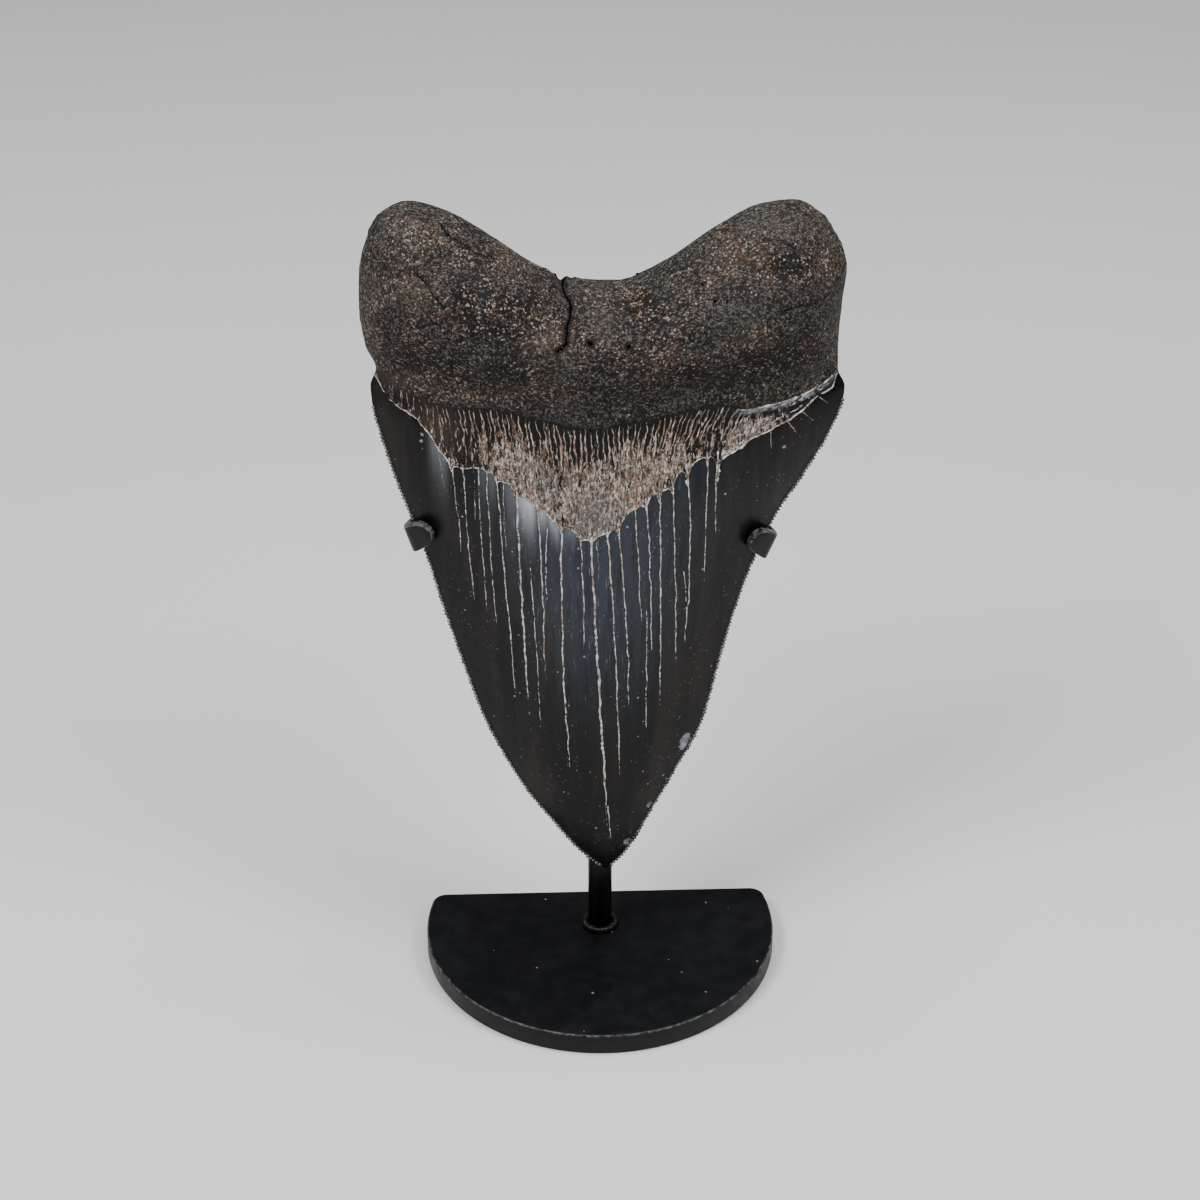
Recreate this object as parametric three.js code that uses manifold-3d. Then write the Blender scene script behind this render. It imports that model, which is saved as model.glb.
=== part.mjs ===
// A fossil megalodon tooth on a display stand: a half-round steel plate, a bent rod and a strap with two hooks.
// Millimetres, +Z up. The origin is the centre of the plate's round edge, on the surface the plate rests on.
// The tooth stands point down, leans back, and shows its domed side towards -Y.
import * as THREE from 'three';
import { mergeVertices } from 'three/addons/utils/BufferGeometryUtils.js';
import Module from 'manifold-3d';

const wasm = await Module();
wasm.setup();

// Plate: a disc with its back cut off straight
const PLATE_RADIUS = 38.1;
const PLATE_THICKNESS = 4.8;
const PLATE_BACK = 11.8;
const PLATE_CORNER = 3.2;
const PLATE_CHAMFER = 0.4;
const PLATE_SEGMENTS = 72;
const CORNER_SEGMENTS = 8;

// Rod: stands upright on the plate, then bends back to pass behind the tooth
const ROD_RADIUS = 2.6;
const ROD_SIDES = 24;
const ROD_STRAIGHT = 12;
const ROD_BEND = 4;
const ROD_STEPS = 6;
const ROD_CLEARANCE = 0.5;
const WELD_LEG = 1.9;

// Where the tooth stands: the place of its tip, and how far it leans back
const TIP = new THREE.Vector3(1.0, -7.5, 25.4);
const LEAN = THREE.MathUtils.degToRad(12);

// Tooth outline, seen square on, from the tip at 0, 0: [height, distance from the middle]
const RIGHT_SIDE = [[0, 0], [4.3, 4.2], [14, 9.8], [23.5, 15], [33, 20], [50, 24.6], [61, 27.8], [70, 31],
  [80, 35.7], [88.5, 41.2], [97, 46.1], [103.3, 48.7], [106.5, 49.2], [110.5, 47.7], [118, 47.9], [125.5, 48.5],
  [131.5, 49.2], [136, 48.2], [139.5, 46.2]];
const LEFT_SIDE = [[0, 0], [5, 5.7], [11.8, 11.1], [19, 16.5], [29, 22.1], [37.2, 25.8], [48, 29.3], [62.4, 33.7],
  [71.8, 36.3], [79.4, 38.9], [88, 42], [98.5, 45.1], [105, 46.6], [108.3, 46.8], [112, 45.6], [117, 47.6],
  [124, 48.7], [131.5, 48.5], [136, 47.7], [139.5, 46.4]];
// Top of the root from its left shoulder over the notch to its right one: [across, height]
const ROOT_TOP = [[-46.4, 139.5], [-43.7, 143.9], [-38.4, 146.2], [-31.2, 144.4], [-22, 139], [-12.4, 132.6],
  [-6, 130], [0, 129.2], [4.3, 129.8], [13, 133.6], [22, 139.7], [32, 144.7], [38.4, 145.4], [43.6, 142.8],
  [46.2, 139.5]];
// Lower end of the enamel's bare window on the domed side: [across, height]
const ENAMEL_LINE = [[-47, 113], [-40, 106.8], [-35, 102], [-30.5, 96], [-25, 94.2], [-19, 90.6], [-12.5, 85.2],
  [-7, 80.6], [-1.5, 78], [4, 82.4], [9.6, 88], [16.4, 93.2], [22, 96.2], [28, 97.4], [33, 101], [41, 106],
  [48, 111]];

// Levels up the side at which the anatomy changes, and how far the neck sags at the middle
const SAG_START = 52;
const NECK_LEVEL = 113;
const SHOULDER_LEVEL = 139.5;
const NECK_SAG = 11;
const SAG_POWER = 1.7;

// Depth of the domed front and the flatter back along the middle: [level, depth]
const CROWN_FRONT = [[0, 0], [4, 1.3], [12, 3.2], [28, 5.8], [50, 8.4], [75, 10.6], [95, 11.6], [113, 11.2]];
const CROWN_BACK = [[0, 0], [4, 0.7], [12, 1.3], [28, 2.1], [50, 2.9], [75, 3.6], [95, 4.2], [113, 4.7]];
const ROOT_FRONT = [[113, 11.2], [116, 12.9], [119.5, 14.9], [123.5, 17], [128, 17.6], [133, 15.9], [139.5, 13]];
const ROOT_BACK = [[113, 4.7], [117, 5], [123, 5.8], [131, 6.4], [139.5, 6]];
// A hollow runs along the root above the neck on either side of the middle, under the root's bulge
const HOLLOW_LEVEL = 117.2;
const HOLLOW_SPREAD = 2.6;
const HOLLOW_DEPTH = 1.9;
const HOLLOW_FROM = [0.12, 0.5];
const LENS_POWER = 2.1;
const RIM_RADIUS = 10.5;
const LOBE_THINNING = 0.3;
const LOBE_POWER = 2.6;
const CROWN_TO_ROOT = [108, 118];

// The bourlette, a shallow band between enamel and root, with the enamel's lip below it
const LIP_HEIGHT = 0.5;
const LIP_RUN = 1.8;
const BAND_HOLLOW = 0.9;

const TOOTH_ROWS = 46;
const TOOTH_COLUMNS = 40;

// Strap: a flat bar behind the tooth, bent like a shallow roof, whose two ends hook round the cutting edges
const STRAP_WIDTH = 5.6;
const STRAP_THICKNESS = 1.8;
const STRAP_APEX = [-1, 101.5];
const STRAP_DEPTH = 7.1;
const EDGE_RIGHT = [32.9, 74.2];
const EDGE_LEFT = [-38.1, 77];
const EDGE_REACH = 3;
const HOOK_RADIUS = 1.8;
const HOOK_INSET = 0.25;
const HOOK_BACK_SLOPE = THREE.MathUtils.degToRad(15);
const HOOK_FRONT_SLOPE = THREE.MathUtils.degToRad(34);
const HOOK_TAB = 4.8;
const HOOK_STEPS = 10;
const TAB_STEPS = 6;
const TAB_END_ANGLE = THREE.MathUtils.degToRad(78);

const GAP = 0.3;

const black = () => new THREE.MeshStandardMaterial({ color: 0x16171a, roughness: 0.5, metalness: 0.6 });
const fossil = () => new THREE.MeshStandardMaterial({ color: 0x35312c, roughness: 0.6, metalness: 0 });

// A smooth function through [x, y] points, with no overshoot between them
function through(points) {
  const n = points.length;
  const run = points.slice(1).map((p, i) => (p[1] - points[i][1]) / (p[0] - points[i][0]));
  const slope = points.map((p, i) => {
    if (i === 0) return run[0];
    if (i === n - 1) return run[n - 2];
    const [a, b] = [run[i - 1], run[i]];
    return a * b <= 0 ? 0 : (2 * a * b) / (a + b);
  });
  return (x) => {
    const at = Math.min(Math.max(x, points[0][0]), points[n - 1][0]);
    let i = 0;
    while (i < n - 2 && at > points[i + 1][0]) i += 1;
    const [x0, y0] = points[i];
    const [x1, y1] = points[i + 1];
    const span = x1 - x0;
    const t = (at - x0) / span;
    const rise = t * t * (3 - 2 * t);
    return y0 * (1 - rise) + y1 * rise
      + span * (slope[i] * t * (1 - t) * (1 - t) - slope[i + 1] * t * t * (1 - t));
  };
}

const mix = (a, b, t) => a + (b - a) * t;
const ease = (x, from, to) => THREE.MathUtils.smoothstep(x, from, to);

// A closed geometry as a solid that can be joined and cut
function solidOf(geometry) {
  const bare = new THREE.BufferGeometry();
  bare.setAttribute('position', geometry.getAttribute('position').clone());
  if (geometry.index) bare.setIndex(geometry.index.clone());
  const welded = mergeVertices(bare, 1e-4);
  return new wasm.Manifold(new wasm.Mesh({
    numProp: 3,
    vertProperties: new Float32Array(welded.getAttribute('position').array),
    triVerts: new Uint32Array(welded.index.array),
  }));
}

function geometryOf(solid) {
  const made = solid.getMesh();
  const geometry = new THREE.BufferGeometry();
  geometry.setAttribute('position', new THREE.BufferAttribute(new Float32Array(made.vertProperties), 3));
  geometry.setIndex(new THREE.BufferAttribute(new Uint32Array(made.triVerts), 1));
  geometry.computeVertexNormals();
  return geometry;
}

// A closed skin over sections with equal numbers of corners. Each section turns left round the way it travels.
function loft(sections) {
  const corners = sections[0].length;
  const faces = [];
  for (let i = 0; i < sections.length - 1; i += 1) {
    for (let j = 0; j < corners; j += 1) {
      const [a, b] = [i * corners + j, i * corners + ((j + 1) % corners)];
      faces.push(a, b, b + corners, a, b + corners, a + corners);
    }
  }
  const last = (sections.length - 1) * corners;
  for (let j = 1; j < corners - 1; j += 1) {
    faces.push(0, j + 1, j, last, last + j, last + j + 1);
  }
  const geometry = new THREE.BufferGeometry();
  geometry.setFromPoints(sections.flat());
  geometry.setIndex(faces);
  geometry.computeVertexNormals();
  return geometry;
}

function named(name, geometry, material) {
  const mesh = new THREE.Mesh(geometry, material);
  mesh.name = name;
  return mesh;
}

// Plate: a disc's outline with a straight back and small round corners
function plateShape(radius) {
  const corner = PLATE_CORNER;
  const cornerY = PLATE_BACK - PLATE_CHAMFER - corner;
  const cornerX = Math.sqrt((radius - corner) ** 2 - cornerY ** 2);
  const side = Math.atan2(cornerY, cornerX);
  const arc = (x, y, r, from, to, segments) => Array.from({ length: segments + 1 }, (_, i) => {
    const angle = mix(from, to, i / segments);
    return new THREE.Vector2(x + r * Math.cos(angle), y + r * Math.sin(angle));
  });
  return new THREE.Shape([
    ...arc(0, 0, radius, -Math.PI - side, side, PLATE_SEGMENTS).slice(1),
    ...arc(cornerX, cornerY, corner, side, Math.PI / 2, CORNER_SEGMENTS).slice(1),
    ...arc(-cornerX, cornerY, corner, Math.PI / 2, Math.PI - side, CORNER_SEGMENTS),
  ]);
}

function basePlate() {
  const geometry = new THREE.ExtrudeGeometry(plateShape(PLATE_RADIUS - PLATE_CHAMFER), {
    depth: PLATE_THICKNESS - 2 * PLATE_CHAMFER,
    bevelThickness: PLATE_CHAMFER,
    bevelSize: PLATE_CHAMFER,
    bevelSegments: 1,
  });
  geometry.translate(0, 0, PLATE_CHAMFER);
  return named('base_plate', geometryOf(solidOf(geometry)), black());
}

// From the tooth's own axes, across, up the tooth and out of its domed side, to the frame
const toothAxes = new THREE.Matrix4().makeRotationX(Math.PI / 2 - LEAN).setPosition(TIP);
const inFrame = (across, up, out) => new THREE.Vector3(across, up, out).applyMatrix4(toothAxes);

// Rod: a weld bead, an upright foot, a gentle bend, then straight up behind the tooth to the strap's apex
function rod() {
  const behind = -(STRAP_DEPTH + STRAP_THICKNESS / 2 + ROD_CLEARANCE + ROD_RADIUS);
  const foot = PLATE_THICKNESS + GAP;
  const bendStart = new THREE.Vector3(0, 0, foot + ROD_STRAIGHT);
  const top = inFrame(-TIP.x, STRAP_APEX[1] + STRAP_WIDTH / 2, behind);
  const corner = bendStart.clone().setZ(bendStart.z + ROD_BEND);
  const along = top.clone().sub(corner).normalize();
  const bendEnd = corner.clone().addScaledVector(along, ROD_BEND);
  const bend = new THREE.QuadraticBezierCurve3(bendStart, corner, bendEnd);
  const ring = (centre, tangent, radius) => Array.from({ length: ROD_SIDES }, (_, i) => {
    const angle = (2 * Math.PI * i) / ROD_SIDES;
    return new THREE.Vector3(
      centre.x + radius * Math.cos(angle),
      centre.y + radius * Math.sin(angle) * tangent.z,
      centre.z - radius * Math.sin(angle) * tangent.y,
    );
  });
  const upright = new THREE.Vector3(0, 0, 1);
  const weld = [[0, 1], [0.4, 0.4], [1, 0.06]].map(([height, width]) => (
    ring(new THREE.Vector3(0, 0, foot + WELD_LEG * height), upright, ROD_RADIUS + WELD_LEG * width)
  ));
  const bent = Array.from({ length: ROD_STEPS + 1 }, (_, i) => (
    ring(bend.getPoint(i / ROD_STEPS), bend.getTangent(i / ROD_STEPS), ROD_RADIUS)
  ));
  return named('post', loft([...weld, ...bent, ring(top, along, ROD_RADIUS)]), black());
}

const rightSide = through(RIGHT_SIDE);
const leftSide = through(LEFT_SIDE);
const rootTop = through(ROOT_TOP);
const enamelLine = through(ENAMEL_LINE);
const crownFront = through(CROWN_FRONT);
const crownBack = through(CROWN_BACK);
const rootFront = through(ROOT_FRONT);
const rootBack = through(ROOT_BACK);

// Where the line at a level crosses the tooth: side runs from -1 at the left edge to 1 at the right
function outlinePoint(side, level) {
  const across = mix(-leftSide(level), rightSide(level), (side + 1) / 2);
  const sag = NECK_SAG * (1 - Math.abs(side) ** SAG_POWER);
  if (level <= NECK_LEVEL) return [across, level - sag * ease(level, SAG_START, NECK_LEVEL)];
  const share = (level - NECK_LEVEL) / (SHOULDER_LEVEL - NECK_LEVEL);
  return [across, mix(NECK_LEVEL - sag, rootTop(across), share)];
}

// The root's rim, as points to measure the distance to
const rim = [];
for (let i = 0; i <= 40; i += 1) {
  const level = mix(NECK_LEVEL - 5, SHOULDER_LEVEL, i / 40);
  rim.push([-leftSide(level), level], [rightSide(level), level]);
}
for (let i = 0; i <= 120; i += 1) {
  const across = mix(ROOT_TOP[0][0], ROOT_TOP[ROOT_TOP.length - 1][0], i / 120);
  rim.push([across, rootTop(across)]);
}

function rimDistance(across, up) {
  let least = Infinity;
  for (const [x, y] of rim) least = Math.min(least, (x - across) ** 2 + (y - up) ** 2);
  return Math.sqrt(least);
}

// How far the domed side and the back stand from the plane of the cutting edges
function depths(side, level) {
  const [across, up] = outlinePoint(side, level);
  const lens = 1 - Math.abs(side) ** LENS_POWER;
  const inset = 1 - Math.min(rimDistance(across, up) / RIM_RADIUS, 1);
  const round = Math.sqrt(1 - inset * inset) * (1 - LOBE_THINNING * Math.abs(side) ** LOBE_POWER);
  const root = ease(level, ...CROWN_TO_ROOT);
  const spread = Math.exp(-(((level - HOLLOW_LEVEL) / HOLLOW_SPREAD) ** 2));
  const hollow = HOLLOW_DEPTH * spread * ease(Math.abs(side), ...HOLLOW_FROM) * round;
  const front = mix(crownFront(level) * lens, rootFront(level) * round, root) - hollow;
  const back = mix(crownBack(level) * lens, rootBack(level) * round, root);
  const aboveLine = up - enamelLine(across);
  const neckUp = outlinePoint(side, NECK_LEVEL)[1];
  const band = ease(aboveLine, 0, LIP_RUN) * (1 - ease(up, neckUp - 1, neckUp + 3));
  const middle = Math.sin(Math.PI * THREE.MathUtils.clamp(aboveLine / (neckUp - enamelLine(across) + 1e-6), 0, 1));
  const cut = band * (LIP_HEIGHT + BAND_HOLLOW * Math.max(middle, 0)) * lens;
  return [Math.max(front - cut, 0), back];
}

// The tooth is one closed skin: a front and a back sheet that share their edge
function tooth() {
  const points = [];
  const faces = [];
  const place = (x, y, z) => points.push(x, y, z) / 3 - 1;
  const tip = place(0, 0, 0);
  const front = [];
  const back = [];
  for (let r = 1; r <= TOOTH_ROWS; r += 1) {
    const level = SHOULDER_LEVEL * (r / TOOTH_ROWS);
    front.push([]);
    back.push([]);
    for (let c = 0; c <= TOOTH_COLUMNS; c += 1) {
      const even = (2 * c) / TOOTH_COLUMNS - 1;
      const side = mix(even, Math.sin((Math.PI / 2) * even), 0.6);
      const [across, up] = outlinePoint(side, level);
      const onEdge = c === 0 || c === TOOTH_COLUMNS || r === TOOTH_ROWS;
      const [out, behind] = onEdge ? [0, 0] : depths(side, level);
      front[r - 1].push(place(across, up, out));
      back[r - 1].push(onEdge ? front[r - 1][c] : place(across, up, -behind));
    }
  }
  for (let c = 0; c < TOOTH_COLUMNS; c += 1) {
    faces.push(tip, front[0][c + 1], front[0][c], tip, back[0][c], back[0][c + 1]);
    for (let r = 0; r < TOOTH_ROWS - 1; r += 1) {
      const [a, b, d, e] = [front[r][c], front[r][c + 1], front[r + 1][c], front[r + 1][c + 1]];
      faces.push(a, b, e, a, e, d);
      const [f, g, h, i] = [back[r][c], back[r][c + 1], back[r + 1][c], back[r + 1][c + 1]];
      faces.push(f, i, g, f, h, i);
    }
  }
  const geometry = new THREE.BufferGeometry();
  geometry.setAttribute('position', new THREE.Float32BufferAttribute(points, 3));
  geometry.setIndex(faces);
  return named('tooth', geometryOf(solidOf(geometry)), fossil());
}

// The strap's middle line from behind the tooth to the end of the hook's bend: [distance along the arm, depth]
function hookLine(reach) {
  const start = HOOK_BACK_SLOPE - Math.PI / 2;
  const end = Math.PI / 2 - HOOK_FRONT_SLOPE;
  const bend = Array.from({ length: HOOK_STEPS + 1 }, (_, i) => {
    const angle = mix(start, end, i / HOOK_STEPS);
    return [reach - HOOK_INSET + HOOK_RADIUS * Math.cos(angle), HOOK_RADIUS * Math.sin(angle)];
  });
  const [firstAlong, firstOut] = bend[0];
  const rampLength = (STRAP_DEPTH + firstOut) / Math.tan(HOOK_BACK_SLOPE);
  return [[0, -STRAP_DEPTH], [firstAlong - rampLength, -STRAP_DEPTH], ...bend];
}

// One arm's sections, each with its outer lower, outer upper, inner upper and inner lower corner.
// The hook's fold follows the cutting edge, so the sections there are slanted to the arm.
function armSections(crossing, outline) {
  const along = new THREE.Vector2(crossing[0] - STRAP_APEX[0], crossing[1] - STRAP_APEX[1]);
  const reach = along.length();
  along.normalize();
  const hand = Math.sign(along.x);
  const across = new THREE.Vector2(-along.y * hand, along.x * hand);
  const edge = new THREE.Vector2(
    outline(crossing[1] + EDGE_REACH) - outline(crossing[1] - EDGE_REACH),
    2 * EDGE_REACH,
  );
  const slant = edge.dot(along) / edge.dot(across);
  const half = STRAP_WIDTH / 2;
  const corner = (distance, depth, width) => new THREE.Vector3(
    STRAP_APEX[0] + along.x * distance + across.x * width,
    STRAP_APEX[1] + along.y * distance + across.y * width,
    depth,
  );
  const section = (lower, upper, normal, width) => {
    const [n, d] = [(normal[0] * STRAP_THICKNESS) / 2, (normal[1] * STRAP_THICKNESS) / 2];
    return [
      corner(lower[0] - n, lower[1] - d, -width),
      corner(upper[0] - n, upper[1] - d, width),
      corner(upper[0] + n, upper[1] + d, width),
      corner(lower[0] + n, lower[1] + d, -width),
    ];
  };
  const line = hookLine(reach);
  const sections = line.map((point, i) => {
    const [before, after] = [line[Math.max(i - 1, 0)], line[Math.min(i + 1, line.length - 1)]];
    const length = Math.hypot(after[0] - before[0], after[1] - before[1]);
    const normal = [(before[1] - after[1]) / length, (after[0] - before[0]) / length];
    const skew = half * (i === 0 ? (along.y * hand) / Math.abs(along.x) : slant);
    return section([point[0] - skew, point[1]], [point[0] + skew, point[1]], normal, half);
  });
  const [lastAlong, lastDepth] = line[line.length - 1];
  const run = [-Math.cos(HOOK_FRONT_SLOPE), Math.sin(HOOK_FRONT_SLOPE)];
  const onTab = (distance) => [lastAlong + run[0] * distance, lastDepth + run[1] * distance];
  for (let i = 0; i <= TAB_STEPS; i += 1) {
    const angle = (TAB_END_ANGLE * i) / TAB_STEPS;
    const width = half * Math.cos(angle);
    const distance = HOOK_TAB - half * (1 - Math.sin(angle));
    sections.push(section(onTab(distance), onTab(distance), [-run[1], run[0]], width));
  }
  return sections;
}

function strap() {
  const right = armSections(EDGE_RIGHT, (level) => rightSide(level));
  const left = armSections(EDGE_LEFT, (level) => -leftSide(level));
  return named('strap', loft([...left.slice(1).reverse(), ...right]), black());
}

const leaning = new THREE.Group();
leaning.applyMatrix4(toothAxes);
leaning.add(tooth(), strap());

const stand = new THREE.Group();
stand.add(basePlate(), rod(), leaning);

export default stand;
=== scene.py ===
"""A fossil shark tooth on its display stand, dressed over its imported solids.

The tooth stands point down and shows its domed face towards -Y. Its own axes are across (to the right), up
(from the point to the root) and out (of the domed face). Sizes are in millimetres unless a comment or a
docstring says metres, and every mesh is made in metres.
"""
from __future__ import annotations

import logging
import math
from dataclasses import dataclass, field
from enum import Enum
from typing import Callable, Sequence

import bpy
import numpy as np
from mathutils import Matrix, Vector, noise
from mathutils.bvhtree import BVHTree
from mathutils.kdtree import KDTree


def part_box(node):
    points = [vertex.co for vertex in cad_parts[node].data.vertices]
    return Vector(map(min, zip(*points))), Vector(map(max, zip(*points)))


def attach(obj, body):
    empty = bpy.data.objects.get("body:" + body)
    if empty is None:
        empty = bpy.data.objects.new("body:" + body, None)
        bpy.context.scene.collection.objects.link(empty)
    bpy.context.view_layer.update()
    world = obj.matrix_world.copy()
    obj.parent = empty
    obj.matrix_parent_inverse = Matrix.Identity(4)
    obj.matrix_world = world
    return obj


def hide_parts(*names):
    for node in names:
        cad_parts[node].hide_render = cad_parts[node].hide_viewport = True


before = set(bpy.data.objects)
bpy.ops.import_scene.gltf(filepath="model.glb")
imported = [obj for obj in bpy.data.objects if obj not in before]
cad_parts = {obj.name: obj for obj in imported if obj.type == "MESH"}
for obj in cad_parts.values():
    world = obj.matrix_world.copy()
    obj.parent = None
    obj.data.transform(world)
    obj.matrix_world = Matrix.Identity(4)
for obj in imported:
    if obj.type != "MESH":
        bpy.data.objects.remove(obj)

LOG = logging.getLogger("tooth_on_stand")
MM = 0.001
# A hair's breadth, in metres
HAIR = 1e-5
# A height that lies below both boundary lines of the tooth, and a distance well outside the tooth, in mm
BELOW_ALL, FAR_OUT = -60.0, 60.0
Colour = tuple[float, float, float, float]
Point2 = tuple[float, float]
Curve = Callable[[np.ndarray], np.ndarray]
# A rib's points in metres and its width at each in mm
RibPath = tuple[np.ndarray, np.ndarray]
Socket = bpy.types.NodeSocket
Sockets = bpy.types.NodeOutputs


class Part(Enum):
    """The CAD nodes that the pieces stand for."""

    TOOTH = "tooth"
    PLATE = "base_plate"
    ROD = "post"
    STRAP = "strap"


class Slot(Enum):
    """The record's material slots."""

    FOSSIL = "fossil"
    PLATE = "plate_paint"
    ROD = "post_paint"
    STRAP = "strap_paint"


# Numbers and curves


def smoothstep(x: np.ndarray, low: float, high: float) -> np.ndarray:
    """Eases from 0 at low to 1 at high."""
    t = np.clip((np.asarray(x, float) - low) / (high - low), 0.0, 1.0)
    return t * t * (3 - 2 * t)


def through(points: Sequence[Point2]) -> Curve:
    """A smooth function through points that doesn't overshoot between them.

    Args:
        points: pairs of position and value, in rising order of position.

    Returns:
        A function of an array of positions.
    """
    x, y = np.array(points, float).T
    run = np.diff(y) / np.diff(x)
    slope = np.empty_like(y)
    slope[0], slope[-1] = run[0], run[-1]
    a, b = run[:-1], run[1:]
    total = np.where(a + b == 0, 1.0, a + b)
    slope[1:-1] = np.where(a * b <= 0, 0.0, 2 * a * b / total)

    def value(at: np.ndarray) -> np.ndarray:
        """Reads the curve at an array of positions.

        Args:
            at: positions, held to the curve's ends.

        Returns:
            The curve's values.
        """
        at = np.clip(np.asarray(at, float), x[0], x[-1])
        i = np.clip(np.searchsorted(x, at, side="right") - 1, 0, len(x) - 2)
        span = x[i + 1] - x[i]
        t = (at - x[i]) / span
        rise = t * t * (3 - 2 * t)
        bend = slope[i] * t * (1 - t) ** 2 - slope[i + 1] * t * t * (1 - t)
        return y[i] * (1 - rise) + y[i + 1] * rise + span * bend

    return value


def noise_at(points: np.ndarray, scale: float, seed: float, octaves: int = 3) -> np.ndarray:
    """Smooth noise from about -1 to 1.

    Args:
        points: N by 2 or N by 3 positions.
        scale: size of the largest lumps, in the same unit.
        seed: shifts the pattern.
        octaves: how many finer layers are added.

    Returns:
        One value for each point.
    """
    flat = np.zeros((len(points), 3))
    flat[:, : points.shape[1]] = points / scale
    flat[:, 2] += seed
    return np.array([noise.fractal(Vector(p), 0.9, 2.0, octaves) for p in flat])


def path_distance(points: np.ndarray, path: Sequence[Point2]) -> np.ndarray:
    """The distance from each 2-D point to a polyline.

    Args:
        points: N by 2.
        path: the polyline's corners.

    Returns:
        One distance for each point.
    """
    least = np.full(len(points), np.inf)
    for a, b in zip(path[:-1], path[1:]):
        a, b = np.array(a, float), np.array(b, float)
        ab = b - a
        t = np.clip((points - a) @ ab / max(ab @ ab, 1e-9), 0, 1)
        least = np.minimum(least, np.linalg.norm(points - a - t[:, None] * ab, axis=1))
    return least


def resampled(path: Sequence[Point2], step: float) -> np.ndarray:
    """A polyline's points at an even step.

    Args:
        path: the polyline's corners.
        step: how far apart the new points lie, or nearly.

    Returns:
        The new points, with both ends kept.
    """
    path = np.array(path, float)
    run = np.concatenate([[0], np.cumsum(np.linalg.norm(np.diff(path, axis=0), axis=1))])
    at = np.linspace(0, run[-1], max(2, int(round(run[-1] / step)) + 1))
    return np.column_stack([np.interp(at, run, path[:, k]) for k in range(path.shape[1])])


# Meshes


def mesh_object(name: str, points: np.ndarray, faces: Sequence[Sequence[int]],
                edges: Sequence[Sequence[int]] = ()) -> bpy.types.Object:
    """Makes an object at the origin from points in metres.

    Args:
        name: the object's name.
        points: N by 3.
        faces: point numbers of each face.
        edges: point numbers of each loose edge.

    Returns:
        The new object.
    """
    mesh = bpy.data.meshes.new(name)
    mesh.from_pydata([tuple(p) for p in points], [tuple(e) for e in edges], [tuple(f) for f in faces])
    mesh.update()
    if faces:
        mesh.shade_smooth()
    ob = bpy.data.objects.new(name, mesh)
    bpy.context.scene.collection.objects.link(ob)
    return ob


def give_values(ob: bpy.types.Object, name: str, values: np.ndarray) -> None:
    """Stores one number, or one vector, for each point of a mesh.

    Args:
        ob: the mesh's object.
        name: the attribute's name.
        values: a row for each point.
    """
    values = np.asarray(values, np.float32)
    kind = "FLOAT" if values.ndim == 1 else "FLOAT_VECTOR"
    layer = ob.data.attributes.new(name, kind, "POINT")
    layer.data.foreach_set("value" if values.ndim == 1 else "vector", values.ravel())


def loft(name: str, rings: Sequence[np.ndarray]) -> bpy.types.Object:
    """A closed skin over rings of equal length, with a flat cap at each end.

    Args:
        name: the new object's name.
        rings: N by 3 arrays in metres, each turning left round the way the rings travel.

    Returns:
        The new object.
    """
    n = len(rings[0])
    faces = []
    for i in range(len(rings) - 1):
        for j in range(n):
            a, b = i * n + j, i * n + (j + 1) % n
            faces.append((a, b, b + n, a + n))
    last = (len(rings) - 1) * n
    faces.append(tuple(reversed(range(n))))
    faces.append(tuple(last + j for j in range(n)))
    return mesh_object(name, np.vstack(rings), faces)


def kept_inside(ob: bpy.types.Object, part: Part) -> None:
    """Holds a piece's points inside the box of the node that it stands for.

    Args:
        ob: the piece.
        part: the node.
    """
    low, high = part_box(part.value)
    for v in ob.data.vertices:
        v.co = [min(max(v.co[k], low[k] + HAIR), high[k] - HAIR) for k in range(3)]


def handed_over(ob: bpy.types.Object, part: Part) -> bpy.types.Object:
    """Puts a piece on the one body, hides the node that it stands for, and logs its triangle count.

    Args:
        ob: the piece.
        part: the node.

    Returns:
        The same piece.
    """
    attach(ob, "root")
    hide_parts(part.value)
    ob.data.calc_loop_triangles()
    LOG.info("%s: %d triangles", ob.name, len(ob.data.loop_triangles))
    return ob


# Node trees


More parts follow.
